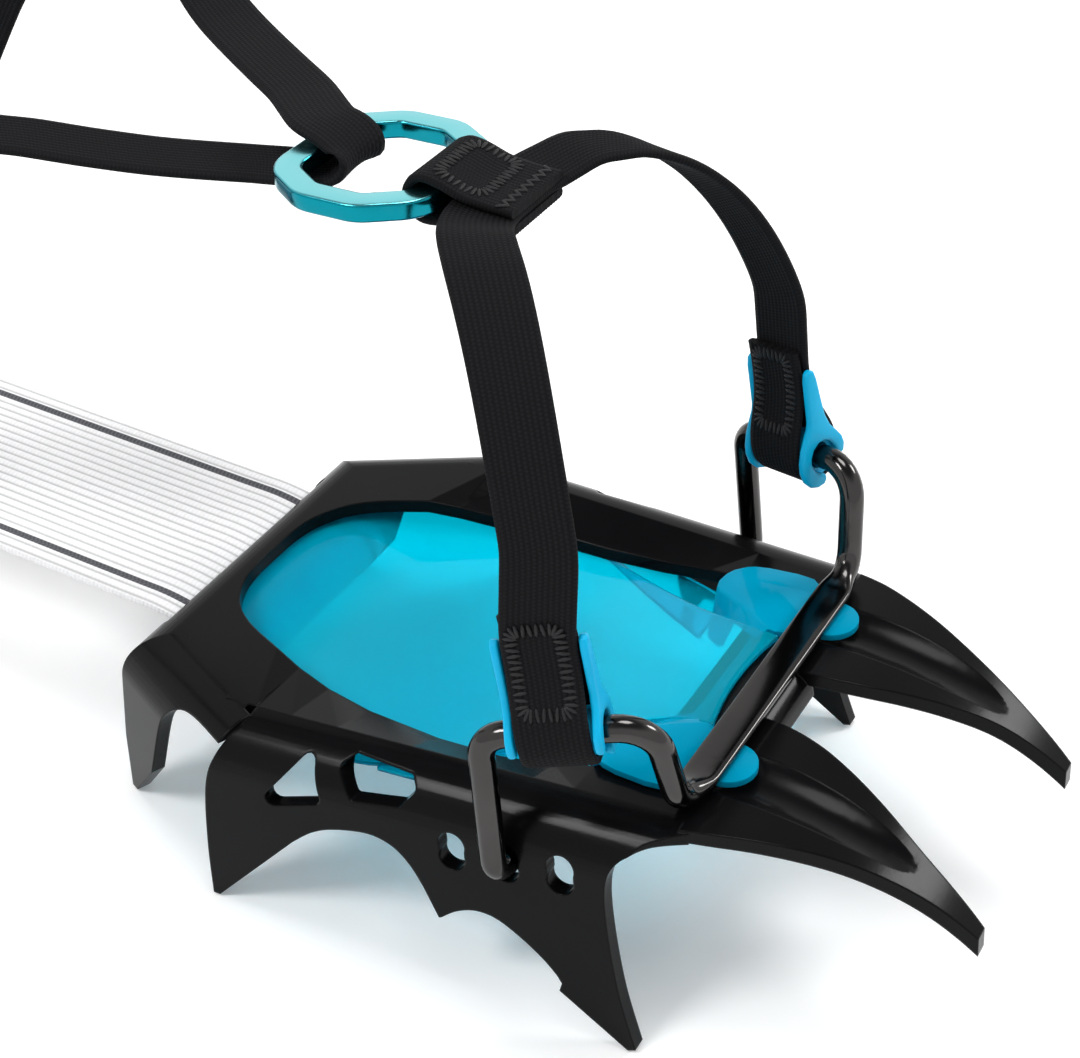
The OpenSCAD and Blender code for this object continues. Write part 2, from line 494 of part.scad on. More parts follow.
module tail_keeper() color([0.09, 0.09, 0.1]) place() translate([-175.4, -42.6, 107]) rotate([0, -42, 0])
  difference() {
    translate([-4, -5.4, -9.4]) cube([8, 11.4, 18.8]);
    translate([-8, -4, -8]) cube([16, 8.6, 16]);
  }

// Link webbing: looped round a pin inside the front frame, then straight through the heel frame to a
// folded hem
pin_d = 4;
pin_loop = pin_d / 2 + 0.3 + link_t / 2;
front_pin = [rear_x + 6.1, -10.6];
hem_r = link_t / 2 + 0.1;
hem_x = heel_x - 21;
link_path = concat([for (v = [[-4.5, -8.6], [-1.1, -9.6], [2.5, -12.2]]) lifted([rear_x + v[0], 0, v[1]])],
  [for (a = [-110 : 20 : 110]) lifted([front_pin[0] + pin_loop * cos(a), 0, front_pin[1]
      + pin_loop * sin(a)])],
  [for (v = [[1.1, -7], [-2.5, -5.6], [-5.5, -4.1]]) lifted([rear_x + v[0], 0, v[1]])],
  [[rear_x - 10.5, 0, link_z], [rear_x - 18.5, 0, link_z], [heel_x + 20, 0, link_z]],
  [for (a = [90 : 22.5 : 270]) [hem_x + hem_r * cos(a), 0, link_z - hem_r + hem_r * sin(a)]],
  [[hem_x + 6, 0, link_z - 2 * hem_r], [hem_x + 13, 0, link_z - 2 * hem_r]]);
module link_strap() color([0.93, 0.93, 0.93]) place() webbing(link_path, [for (v = link_path) [0, 1,
    0]], link_w, link_t);
module link_front_pin() color([0.5, 0.5, 0.52]) place() front_frame() translate([front_pin[0],
    -link_w / 2 - 1, front_pin[1]])
  rotate([-90, 0, 0]) cylinder(h = link_w + 2, d = pin_d);

// Heel frame, drawn flat with its top at z = 0 and its middle at x = 0
heel_pivot = [-25, -11];
heel_hole = [-26, 24, 20];
pan_low = heel_h - link_z - link_t / 2 - gap;
cam_at = [28, link_z - heel_h - link_t / 2 - gap - 5.4];
bracket_t = 1.6;
bracket_y = link_w / 2 + 0.8;
rivet_d = 3.2;
rivet_foot = 4.6;
rivet_y = bracket_y + bracket_t + gap + rivet_foot / 2;
heel_outline = concat([[-39, 1], [-39.5, -8], [-38.6, -20]], [[-34.6, -heel_h], [-32.8, -heel_h]],
  smooth([[-24.6, -17.6], [-18, -9.4], [-14.6, -4], [-13.6, 1]]), [[13.6, 1]], smooth([[13.6, 0.6],
      [15, -5], [19, -11], [23.6, -18]]),
  [[30.4, -heel_h], [32.2, -heel_h], [37.6, -20], [39, -8], [38.5, 1]]);
module heel_wing() intersection() {
  translate([-45, heel_half_w + heel_tl, 0]) bent_sheet(90, heel_bend, heel_lean, 50, lead = 2 * seam);
  difference() {
    along_y(20, 40, heel_outline);
    translate([-13.6, 0, -20]) cube([27.2, 60, 40]);
    translate([heel_pivot[0], 70, heel_pivot[1]]) rotate([90, 0, 0]) cylinder(h = 60, d = hole_d);
  }
}
module heel_ear() {
  // Up-turned edge of the deck, then the leaning ear with its strap slot
  translate([-13, heel_half_w, 4]) along_x() linear_extrude(25)
    polygon(concat([[-2 * seam, -4]], swing(4, -90, 0, 8), [[4, 1], [4 + plate_t, 1]],
      swing(4 + plate_t, 0, -90, 8), [[-2 * seam, -4 - plate_t]]));
  difference() {
    along_y(ear_y[0], plate_t, rounded([[-13, 3.8], [12, 3.8], [17.4, 5.4], [29.8, 14.2], [14.2, 29.8],
        [1.4, 17.6], [-13, 8]], 2.2));
    translate([24.7 * sin(ear_a), 20, 24.7 * cos(ear_a)]) rotate([0, ear_a, 0])
        translate([-web_w / 2 - 0.8, 0, -2.1])
      cube([web_w + 1.6, 30, 4.2]);
  }
}
module heel_plate() color([0.05, 0.05, 0.06]) place() heel_frame() difference() {
  union() {
    translate([0, 0, -plate_t]) linear_extrude(plate_t) difference() {
      polygon(box_of(seam - heel_half_l, heel_half_l - seam, heel_half_w - seam));
      polygon(rounded(box_of(heel_hole[0], heel_hole[1], heel_hole[2]), 6));
    }
    both() {
      heel_wing();
      heel_ear();
    }
    translate([heel_half_l, 26.5, 0]) rotate([0, 0, -90]) translate([0, heel_bend, 0])
      bent_sheet(53, heel_bend, 0, 3, lead = 2 * seam);
    translate([-heel_half_l, -24, 0]) rotate([0, 0, 90]) translate([0, heel_bend, 0])
      bent_sheet(48, heel_bend, 0, 2, lead = 2 * seam);
  }
  translate([heel_half_l + 0.5, -link_w / 2 - 1, link_z - heel_h - link_t / 2 - 0.8]) cube([20,
      link_w + 2, link_t + 1.6]);
  for (y = [-rivet_y, rivet_y]) translate([cam_at[0], y, -10])
    cylinder(h = 20, d = rivet_d + 0.1);
}
function box_of(x0, x1, y) = [[x0, -y], [x1, -y], [x1, y], [x0, y]];
module heel_antiball_plate() color([0.0, 0.62, 0.82]) place() heel_frame() difference() {
  union() {
    translate([0, 0, gap]) linear_extrude(skin_t) polygon(rounded(box_of(heel_hole[0] - 3, heel_hole[1]
        + 3, heel_hole[2] + 3), 6));
    translate([0, 0, -pan_low]) linear_extrude(pan_low + gap + skin_t)
      polygon(rounded(box_of(heel_hole[0] + 0.6, heel_hole[1] - 0.6, heel_hole[2] - 0.6), 5.4));
  }
  translate([0, 0, skin_t - pan_low]) linear_extrude(20)
    polygon(rounded(box_of(heel_hole[0] + 1.8, heel_hole[1] - 1.8, heel_hole[2] - 1.8), 4.2));
}
module cam_bracket() color([0.6, 0.6, 0.62]) place() heel_frame() both() difference() {
  union() {
    translate([cam_at[0] - 5, bracket_y, -plate_t - gap - bracket_t])
      cube([10, rivet_y + 2.5 - bracket_y, bracket_t]);
    translate([cam_at[0] - 5, bracket_y, cam_at[1] - 4.5])
      cube([10, bracket_t, -plate_t - gap - cam_at[1] + 4.5]);
  }
  translate([cam_at[0], 0, cam_at[1]]) rotate([-90, 0, 0]) cylinder(h = 40, d = cam_pin_d + 0.04);
  translate([cam_at[0], rivet_y, -20]) cylinder(h = 40, d = rivet_d + 0.1);
}
module cam_rivets() color([0.6, 0.6, 0.62]) place() heel_frame() both() translate([cam_at[0], rivet_y,
    0]) {
  translate([0, 0, -plate_t - gap - bracket_t - 0.7])
    cylinder(h = plate_t + gap + bracket_t + 0.8, d = rivet_d);
  translate([0, 0, 0.02]) cylinder(h = 1.2, d1 = 6, d2 = 4.2);
  translate([0, 0, -plate_t - gap - bracket_t - 1.2]) cylinder(h = 1.1, d = rivet_foot);
}
module link_cam() color([0.3, 0.3, 0.32]) place() heel_frame() difference() {
  union() {
    translate([cam_at[0], -link_w / 2 + 0.5, cam_at[1]]) rotate([-90, 0, 0]) cylinder(h = link_w - 1,
        r = 4.2);
    translate([cam_at[0] - 0.2, -link_w / 2 + 0.5, cam_at[1] + 2.4]) rotate([-90, 0, 0])
        cylinder(h = link_w - 1, r = 3);
    translate([cam_at[0], -14, cam_at[1]]) rotate([0, -16, 0]) translate([-16, 0, -4]) cube([16, 28,
        2.4]);
  }
  translate([cam_at[0], -40, cam_at[1]]) rotate([-90, 0, 0]) cylinder(h = 80, d = cam_pin_d
      + 2 * run_play);
}
module cam_pin() color([0.6, 0.6, 0.62]) place() heel_frame() translate([cam_at[0], -link_w / 2 - 3,
    cam_at[1]])
  rotate([-90, 0, 0]) cylinder(h = link_w + 6, d = cam_pin_d);

// Heel wire, hinged in the heel frame's side walls; the lever turns on its cross part
wire_y = heel_half_w + heel_tl + 11 * tan(heel_lean) + wire_d / 2 + gap + 1.9;
heel_half = [[heel_pivot[0], wire_y - 11, heel_pivot[1]], [heel_pivot[0], wire_y, heel_pivot[1]], [-50,
    37, 20],
  [axle[0], 20.5, axle[1]]];
heel_line = concat(heel_half, [for (i = [3 : -1 : 0]) flip(heel_half[i])]);
module heel_wire() color([0.2, 0.2, 0.22]) place() heel_frame() wire(heel_line, [0, 4.5, 8, 4, 4, 8,
    4.5, 0], wire_d);

// Heel lever, its sliding claw, screw and thumbwheel, drawn about the axle
screw_x = 9.4;
module lever_frame() heel_frame() translate([axle[0], 0, axle[1]]) children();
lever_side = smooth([[-6.6, -2], [-6.4, 6], [-5.2, 24], [-4.6, 44], [-6.6, 58], [-10.4, lever_l]], 6);
lever_face = smooth([[-6.2, lever_l + 1.2], [-1.6, 57], [0.8, 44], [2.4, 24], [4.6, 6], [5.4, -2]], 6);
module heel_lever() color([0.06, 0.06, 0.07]) place() lever_frame() difference() {
  union() {
    along_y(-lever_w / 2, lever_w, concat(lever_side, lever_face, [for (a = [-20 : -20 : -160])
        [6.6 * cos(a) - 0.4, 6.6 * sin(a) - 1]]));
    for (z = [9, 31]) translate([-1, -6, z]) cube([screw_x + 6.4, 12, 4]);
  }
  rotate([-90, 0, 0]) translate([0, 0, -40]) cylinder(h = 80, d = wire_d + 2 * run_play);
  translate([-20, -lever_w / 2 + 3, 12]) cube([16.4, lever_w - 6, 32]);
  translate([screw_x, 0, 0]) cylinder(h = 60, d = 4 + 2 * run_play);
}
module adjuster_screw() color([0.65, 0.65, 0.67]) place() lever_frame() translate([screw_x, 0, 7.6]) {
  cylinder(h = 29, d = 4);
  translate([0, 0, 28.4]) cylinder(h = 2.4, d = 6.6);
}
module thumbwheel() color([0.0, 0.62, 0.82]) place() lever_frame() translate([screw_x, 0, 25.2])
    difference() {
  cylinder(h = 5.2, d = 12);
  translate([0, 0, -1]) cylinder(h = 8, d = 4.04);
  for (a = [0 : 30 : 330]) rotate([0, 0, a]) translate([6.2, 0, -1]) cylinder(h = 8, d = 1.6, $fn = 16);
}
module heel_claw() color([0.62, 0.62, 0.64]) place() lever_frame() difference() {
  union() {
    translate([screw_x - 4, -4.5, 15.6]) cube([8, 9, 6]);
    translate([screw_x + 3, -11, 15.6]) cube([8.5, 22, 2.6]);
    translate([screw_x + 9, -11, 11.6]) cube([2.5, 22, 6]);
  }
  translate([screw_x, 0, 0]) cylinder(h = 60, d = 4 + 2 * run_play);
}

front_plate();
front_antiball_plate();
toe_bail();
near_bail_keeper();
far_bail_keeper();
near_instep_strap();
far_instep_strap();
instep_ring_tab();
instep_ring();
ankle_strap();
ankle_buckle();
buckle_strap();
tail_keeper();
link_strap();
link_front_pin();
heel_plate();
heel_antiball_plate();
cam_bracket();
cam_rivets();
link_cam();
cam_pin();
heel_wire();
heel_lever();
heel_claw();
adjuster_screw();
thumbwheel();
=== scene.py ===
import math
from contextlib import contextmanager

import bpy
from bpy.props import FloatProperty, FloatVectorProperty, IntProperty, PointerProperty
from mathutils import Matrix, Vector


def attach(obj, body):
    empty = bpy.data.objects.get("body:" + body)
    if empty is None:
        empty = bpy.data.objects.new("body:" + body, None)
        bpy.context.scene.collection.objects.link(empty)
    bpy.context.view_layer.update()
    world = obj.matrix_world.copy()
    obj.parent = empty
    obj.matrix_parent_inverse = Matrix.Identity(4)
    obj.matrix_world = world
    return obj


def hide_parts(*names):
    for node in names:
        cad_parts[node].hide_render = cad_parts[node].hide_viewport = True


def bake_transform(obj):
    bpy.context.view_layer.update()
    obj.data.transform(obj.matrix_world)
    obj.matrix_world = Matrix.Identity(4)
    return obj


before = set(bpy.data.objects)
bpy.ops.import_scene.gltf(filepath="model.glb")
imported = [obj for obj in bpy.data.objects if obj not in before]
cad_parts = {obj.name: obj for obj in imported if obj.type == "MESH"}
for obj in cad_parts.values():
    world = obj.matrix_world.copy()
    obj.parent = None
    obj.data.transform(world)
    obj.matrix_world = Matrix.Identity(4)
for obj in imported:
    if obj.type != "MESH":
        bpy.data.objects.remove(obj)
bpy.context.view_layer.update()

bl_info = {
    "name": "Strap-on crampon",
    "version": (1, 0, 0),
    "blender": (4, 5, 0),
    "location": "3D View > Sidebar > Crampon",
    "description": "Dresses the crampon's frames, wires, webbing and fittings",
    "category": "Object",
}

# Where the toe strip and the heel stand, in millimetres, and how the front section leans
TOE_X = 136.3
TOE_H = 43.5
TOE_RISE = math.radians(5.3)
HEEL_X = -252.0
HEEL_H = 34.6

# Settings that lengths and colours share
LENGTH = {"unit": "LENGTH", "precision": 5}
COLOUR = {"subtype": "COLOR", "min": 0, "max": 1}


class CramponSizes(bpy.types.PropertyGroup):
    """Sizes of the soft and bent pieces"""

    web_width: FloatProperty(
        name="Webbing width", description="Width of the instep and ankle webbing",
        default=0.0115, min=0.008, max=0.02, **LENGTH)
    web_thickness: FloatProperty(
        name="Webbing thickness", description="Thickness of the instep and ankle webbing",
        default=0.0016, min=0.001, max=0.003, **LENGTH)
    web_ribs: IntProperty(
        name="Webbing ribs", description="Lengthwise ribs across the instep and ankle webbing",
        default=12, min=4, max=24)
    link_width: FloatProperty(
        name="Link width", description="Width of the white link webbing",
        default=0.044, min=0.03, max=0.05, **LENGTH)
    link_thickness: FloatProperty(
        name="Link thickness", description="Thickness of the white link webbing",
        default=0.0018, min=0.001, max=0.003, **LENGTH)
    link_ribs: IntProperty(
        name="Link ribs", description="Lengthwise ribs across the link webbing",
        default=22, min=8, max=40)
    wire_diameter: FloatProperty(
        name="Wire diameter", description="Diameter of the bail wire",
        default=0.0043, min=0.003, max=0.006, **LENGTH)
    edge_radius: FloatProperty(
        name="Edge radius", description="Rounding of the stamped edges of both frames",
        default=0.0005, min=0.0, max=0.002, **LENGTH)
    stitch_length: FloatProperty(
        name="Stitch length", description="Length of one satin stitch across its row",
        default=0.0024, min=0.001, max=0.004, **LENGTH)


class CramponColours(bpy.types.PropertyGroup):
    """Colours of the finishes"""

    paint: FloatVectorProperty(
        name="Frame paint", description="Satin black paint on both frames",
        default=(0.003, 0.003, 0.0034), **COLOUR)
    skin: FloatVectorProperty(
        name="Blue skin", description="Tint of the clear blue plates", default=(0.0, 0.62, 0.83), **COLOUR)
    pad: FloatVectorProperty(
        name="Blue pads", description="Deeper tint of the raised corner pads",
        default=(0.0, 0.36, 0.58), **COLOUR)
    wire: FloatVectorProperty(
        name="Wire", description="Black chrome on the wires", default=(0.055, 0.053, 0.052), **COLOUR)
    keeper: FloatVectorProperty(
        name="Keeper", description="Sky-blue moulded keepers", default=(0.0, 0.42, 0.72), **COLOUR)
    webbing: FloatVectorProperty(
        name="Black webbing", description="Yarn of the black webbing",
        default=(0.0075, 0.0075, 0.0085), **COLOUR)
    link: FloatVectorProperty(
        name="Link webbing", description="Yarn of the white link webbing",
        default=(0.84, 0.84, 0.85), **COLOUR)
    stripe: FloatVectorProperty(
        name="Link stripe", description="Dark stripe near each edge of the link webbing",
        default=(0.035, 0.036, 0.04), **COLOUR)
    # The ring's flats, pale with a painted highlight
    ring: FloatVectorProperty(
        name="Ring", description="Flats of the anodised ring", default=(0.24, 0.72, 0.77), **COLOUR)
    # The ring's sides, darker with painted shade
    ring_shaded_side: FloatVectorProperty(
        name="Ring sides", description="Sides of the anodised ring", default=(0.004, 0.22, 0.28), **COLOUR)
    plastic: FloatVectorProperty(
        name="Black plastic", description="Moulded lever and buckle",
        default=(0.011, 0.011, 0.012), **COLOUR)
    steel: FloatVectorProperty(
        name="Steel", description="Bare pins, rivets and screw", default=(0.50, 0.50, 0.51), **COLOUR)


def sizes():
    return bpy.context.scene.crampon_sizes


def colours():
    return bpy.context.scene.crampon_colours


# Points and paths, in millimetres of the construction frame

def row(p):
    """A construction point in the frame's metres."""
    return Vector(((p[0] + TOE_X) / 1000, p[1] / 1000, p[2] / 1000))


def lifted(p):
    """A point of the leaning front section in the construction frame."""
    c, s = math.cos(TOE_RISE), math.sin(TOE_RISE)
    return Vector((p[0] * c - p[2] * s, p[1], TOE_H + p[0] * s + p[2] * c))


def flip(p):
    return Vector((p[0], -p[1], p[2]))


def clamped(x):
    return max(0.0, min(1.0, x))


def arc(radius, degrees):
    """Points of a circle round the origin, one for each angle."""
    return [(radius * math.cos(math.radians(a)), radius * math.sin(math.radians(a))) for a in degrees]


def table_at(table, x):
    """Straight-line look-up in pairs of place and value."""
    x = max(table[0][0], min(table[-1][0], x))
    for (a, p), (b, q) in zip(table, table[1:]):
        if x <= b:
            return p + (q - p) * (x - a) / (b - a)


def smooth(points, n):
    """The points joined by a spline with n steps between each two."""
    pts = [Vector(p) for p in points]
    out = []
    for i in range(len(pts) - 1):
        a, b = pts[max(0, i - 1)], pts[i]
        c, d = pts[i + 1], pts[min(len(pts) - 1, i + 2)]
        for k in range(n):
            t = k / n
            out.append(0.5 * (2 * b + (c - a) * t + (2 * a - 5 * b + 4 * c - d) * t * t
                              + (3 * b - a - 3 * c + d) * t ** 3))
    out.append(pts[-1])
    return out


def bezier(p, t):
    a, b, c, d = (Vector(q) for q in p)
    return a * (1 - t) ** 3 + b * 3 * t * (1 - t) ** 2 + c * 3 * t * t * (1 - t) + d * t ** 3


def rounded_path(points, radii, n=8):
    """Straight runs with turned corners."""
    pts = [Vector(p) for p in points]
    out = [pts[0]]
    for i in range(1, len(pts) - 1):
        b, r = pts[i], radii[i]
        u, v = (pts[i - 1] - b).normalized(), (pts[i + 1] - b).normalized()
        h = u.angle(v) / 2
        m = b + (u + v).normalized() * r / math.sin(h)
        p, q = b + u * r / math.tan(h) - m, b + v * r / math.tan(h) - m
        w = p.angle(q)
        for k in range(n + 1):
            out.append(m + (p * math.sin(w * (1 - k / n)) + q * math.sin(w * k / n)) / math.sin(w))
    out.append(pts[-1])
    return out


def even(path, step):
    """The path with straight runs cut to at most the given step."""
    out = [path[0]]
    for a, b in zip(path, path[1:]):
        n = max(1, math.ceil((b - a).length / step))
        out += [a.lerp(b, k / n) for k in range(1, n + 1)]
    return out


def relaxed(points):
    """Each inner point drawn toward its two neighbours."""
    inner = [(a + 2 * b + c) / 4 for a, b, c in zip(points, points[1:], points[2:])]
    return [points[0], *inner, points[-1]]


def flowing(path, sides, step, passes):
    """The path cut to even steps and relaxed, with its width directions."""
    line, wide = [path[0]], [sides[0]]
    for a, b, s, t in zip(path, path[1:], sides, sides[1:]):
        n = max(1, math.ceil((b - a).length / step))
        line += [a.lerp(b, k / n) for k in range(1, n + 1)]
        wide += [s.lerp(t, k / n) for k in range(1, n + 1)]
    for _ in range(passes):
        line, wide = relaxed(line), relaxed(wide)
    return line, wide


def headings(path, closed=False):
    n = len(path)
    if closed:
        return [(path[(i + 1) % (n - 1)] - path[(i - 1) % (n - 1)]).normalized() for i in range(n)]
    return [(path[min(n - 1, i + 1)] - path[max(0, i - 1)]).normalized() for i in range(n)]


# Modelling steps

# Distance in metres at which points of a CAD copy become one, and the same for a rolled-up grid's seam
MERGE = 2e-5
SEAM = 1e-7
# Degrees: edges of a CAD copy that are rounded, and faces that count as flat and are joined first
EASED = 38
FLAT = 0.6
# Edges of a new plate that are rounded
SHARP = math.radians(50)


def clear():
    bpy.ops.object.select_all(action="DESELECT")


def pick(obj):
    clear()
    obj.select_set(True)
    bpy.context.view_layer.objects.active = obj


@contextmanager
def editing(obj):
    """Edit mode on one piece, with all of it selected."""
    pick(obj)
    bpy.ops.object.mode_set(mode="EDIT")
    bpy.ops.mesh.select_all(action="SELECT")
    yield
    bpy.ops.object.mode_set(mode="OBJECT")


def faces_out():
    bpy.ops.mesh.select_all(action="SELECT")
    bpy.ops.mesh.normals_make_consistent(inside=False)


def finish_mod(obj, kind, **settings):
    """Adds a modifier with these settings and applies it."""
    pick(obj)
    mod = obj.modifiers.new(kind.title(), kind)
    for key, value in settings.items():
        setattr(mod, key, value)
    bpy.ops.object.modifier_apply(modifier=mod.name)


def soften(obj, degrees):
    pick(obj)
    bpy.ops.object.shade_smooth_by_angle(angle=math.radians(degrees))


def named(obj, name):
    obj.name = obj.data.name = name
    return obj


def sheet_grid(name, across, along):
    """A flat grid to be laid out point by point."""
    clear()
    bpy.ops.mesh.primitive_grid_add(x_subdivisions=across, y_subdivisions=along, size=2)
    return named(bpy.context.object, name)


def lay_out(obj, across, along, place, uv=None):
    """Moves each grid point to place(i, j), and its UV to uv(i, j)."""
    keys = []
    for v in obj.data.vertices:
        i, j = round((v.co.x + 1) / 2 * across), round((v.co.y + 1) / 2 * along)
        keys.append((i, j))
    for v, (i, j) in zip(obj.data.vertices, keys):
        v.co = place(i, j)
    if uv:
        layer = obj.data.uv_layers.active.data
        for loop in obj.data.loops:
            layer[loop.index].uv = uv(*keys[loop.vertex_index])


def swept(name, path, sides, profiles, closed=False):
    """A closed tube along a path in millimetres: profiles gives each step's outline, its first
    number along the side direction and its second along the face."""
    count = len(profiles(0))
    length = [0.0]
    for a, b in zip(path, path[1:]):
        length.append(length[-1] + (b - a).length / 1000)
    axes = []
    for f, s in zip(headings(path, closed), sides):
        a = (s - f * s.dot(f)).normalized()
        axes.append((a, f.cross(a)))
    outline = [profiles(j) for j in range(len(path))]
    obj = sheet_grid(name, count, len(path) - 1)

    def place(i, j):
        a, b = outline[j][i % count]
        return row(path[j] + axes[j][0] * a + axes[j][1] * b)

    def uv(i, j):
        return (outline[j][i % count][0] / 1000, length[j])

    lay_out(obj, count, len(path) - 1, place, uv)
    with editing(obj):
        bpy.ops.mesh.remove_doubles(threshold=SEAM)
        bpy.ops.mesh.select_all(action="SELECT")
        bpy.ops.mesh.fill_holes(sides=0)
        faces_out()
    return obj


def merged_copy(node, name, flat=0.0):
    """A copy of a CAD node as one closed mesh, its flat faces joined where flat is given in degrees."""
    obj = bpy.data.objects.new(name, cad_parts[node].data.copy())
    obj.data.name = name
    bpy.context.scene.collection.objects.link(obj)
    obj.data.materials.clear()
    pick(obj)
    bpy.ops.mesh.customdata_custom_splitnormals_clear()
    with editing(obj):
        bpy.ops.mesh.remove_doubles(threshold=MERGE)
        if flat:
            bpy.ops.mesh.select_all(action="SELECT")
            bpy.ops.mesh.dissolve_limited(angle_limit=math.radians(flat))
    return obj


def eased_copy(node, name, width, segments=2):
    """A copy of a CAD node with its sharp edges rounded."""
    obj = merged_copy(node, name, FLAT)
    finish_mod(obj, "BEVEL", width=width, segments=segments, limit_method="ANGLE",
               angle_limit=math.radians(EASED), use_clamp_overlap=False, miter_outer="MITER_ARC")
    soften(obj, EASED)
    return obj


def flat_face(name, outline):
    """One flat face with the given outline, shaped from a filled circle."""
    clear()
    bpy.ops.mesh.primitive_circle_add(vertices=len(outline), radius=1, fill_type="NGON")
    obj = named(bpy.context.object, name)
    for v, p in zip(obj.data.vertices, outline):
        v.co = p
    return obj


def raised(obj, push):
    """Extrudes a flat piece by push."""
    with editing(obj):
        bpy.ops.mesh.extrude_region_move(TRANSFORM_OT_translate={"value": push})
        faces_out()


def thick_plate(name, outline, push, edge):
    """A plate with the given outline, raised by push and rounded all round."""
    obj = flat_face(name, outline)
    raised(obj, push)
    finish_mod(obj, "BEVEL", width=edge, segments=3, limit_method="ANGLE", angle_limit=SHARP)
    return obj


def joined(name, pieces):
    clear()
    for piece in pieces:
        piece.select_set(True)
    bpy.context.view_layer.objects.active = pieces[0]
    bpy.ops.object.join()
    return named(bpy.context.object, name)


def placed(obj, place):
    """Moves each point of a piece through place."""
    for v in obj.data.vertices:
        v.co = place(v.co)


def twin(obj):
    copy = obj.copy()
    copy.data = obj.data.copy()
    bpy.context.scene.collection.objects.link(copy)
    return copy


def mirrored(obj, name):
    """A copy of a piece on the near side."""
    copy = named(twin(obj), name)
    placed(copy, flip)
    copy.data.flip_normals()
    return copy


# Webbing

# Share of the half thickness that the edge rounds, and how many half thicknesses a bead reaches inward
EDGE_SHARE = 0.9
BEAD_REACH = 2.2
# Steps across one rib, and the depth of the black webbing's ribs in millimetres
RIB_STEPS = 4
WEB_RIB_DEPTH = 0.14


def ribbed_outline(width, thick, ribs, depth, bead):
    """Outline of ribbed webbing: ribs on both faces and rounded edges."""
    w, t = width / 2, thick / 2
    e = t * EDGE_SHARE
    steps = ribs * RIB_STEPS
    face = []
    for k in range(steps + 1):
        x = -w + e + (2 * w - 2 * e) * k / steps
        groove = 0.5 - 0.5 * math.cos(2 * math.pi * k / RIB_STEPS)
        swell = bead * max(0.0, 1 - (w - abs(x)) / (BEAD_REACH * t))
        face.append((x, t - depth * (1 - groove) + swell))
    edge = [(w - e + e * math.sin(a), t * math.cos(a)) for a in (0.8, 1.57, 2.34)]
    top = face + edge
    return top + [(-x, -y) for x, y in top]


def webbing(name, path, sides, width, thick, ribs, depth, bead=0.0):
    outline = ribbed_outline(width, thick, ribs, depth, bead)
    obj = swept(name, path, sides, lambda j: outline)
    soften(obj, 60)
    return obj


def black_web(name, path, sides, body, *nodes):
    """A run of black webbing, dressed."""
    s = sizes()
    strap = webbing(name, path, sides, s.web_width * 1000, s.web_thickness * 1000, s.web_ribs, WEB_RIB_DEPTH)
    return done(strap, "web", body, *nodes)


# Stitching, in millimetres

# Half width and half height of one stitch, and the distance between two
STITCH_HALF = (0.33, 0.3)
STITCH_PITCH = 0.95
# How far to each side the surface's directions are taken
STITCH_FEEL = 0.2
# Degrees by which a stitch leans, each to the other side than the one before
STITCH_LEAN = 7


def satin_rows(name, surface, marks):
    """Satin stitches on a surface. Each mark gives the stitch's place there and its direction, in
    degrees from the surface's first axis."""
    reach = sizes().stitch_length * 1000
    clear()
    bpy.ops.mesh.primitive_uv_sphere_add(segments=8, ring_count=6, radius=1)
    stitch = bpy.context.object
    made = []
    for x, y, turn in marks:
        across = (surface(x + STITCH_FEEL, y) - surface(x - STITCH_FEEL, y)).normalized()
        along = (surface(x, y + STITCH_FEEL) - surface(x, y - STITCH_FEEL)).normalized()
        up = across.cross(along).normalized()
        a = math.radians(turn)
        out = (across * math.cos(a) + along * math.sin(a)) * reach / 2
        side = up.cross(out).normalized() * STITCH_HALF[0]
        copy = twin(stitch)
        matrix = (Matrix((out, side, up * STITCH_HALF[1])).transposed() * 0.001).to_4x4()
        copy.data.transform(Matrix.Translation(row(surface(x, y))) @ matrix)
        made.append(copy)
    bpy.data.objects.remove(stitch)
    obj = joined(name, made)
    soften(obj, 80)
    return done(obj, "thread", "bail")


def box_marks(half_w, half_l, corner):
    """Stitch marks set square to a rounded box."""
    sw, sl = half_w - corner, half_l - corner
    runs = [((half_w, -sl), (half_w, sl), 0), ((sw, half_l), (-sw, half_l), 90),
            ((-half_w, sl), (-half_w, -sl), 180), ((-sw, -half_l), (sw, -half_l), 270)]
    marks = []
    for (x0, y0), (x1, y1), turn in runs:
        n = max(1, round(math.hypot(x1 - x0, y1 - y0) / STITCH_PITCH))
        marks += [(x0 + (x1 - x0) * k / n, y0 + (y1 - y0) * k / n,
                   turn + (STITCH_LEAN if k % 2 else -STITCH_LEAN)) for k in range(n + 1)]
        (dx, dy), *bends = arc(corner, (turn, turn + 30, turn + 60))
        marks += [(x1 - dx + x, y1 - dy + y, turn + 30 * k) for k, (x, y) in enumerate(bends, 1)]
    return marks


# Shader nodes

def feed(tree, value, socket):
    """Sets a socket to a number or a colour, or links an output to it."""
    if isinstance(value, (int, float)):
        socket.default_value = value
    elif isinstance(value, tuple):
        socket.default_value = (*value, 1)
    else:
        tree.links.new(value, socket)


def preset(node, **values):
    """Sets plain values of a node's inputs."""
    for key, value in values.items():
        node.inputs[key.replace("_", " ")].default_value = value


def math_node(tree, operation, *values):
    n = tree.nodes.new("ShaderNodeMath")
    n.operation = operation
    for socket, value in zip(n.inputs, values):
        feed(tree, value, socket)
    return n.outputs[0]


def times(tree, a, b):
    return math_node(tree, "MULTIPLY", a, b)


def plus(tree, a, b):
    return math_node(tree, "ADD", a, b)


def noise_node(tree, vector, scale, detail=3.0, rough=0.5):
    n = tree.nodes.new("ShaderNodeTexNoise")
    preset(n, Detail=detail, Roughness=rough)
    tree.links.new(vector, n.inputs["Vector"])
    feed(tree, scale, n.inputs["Scale"])
    return n.outputs[0]


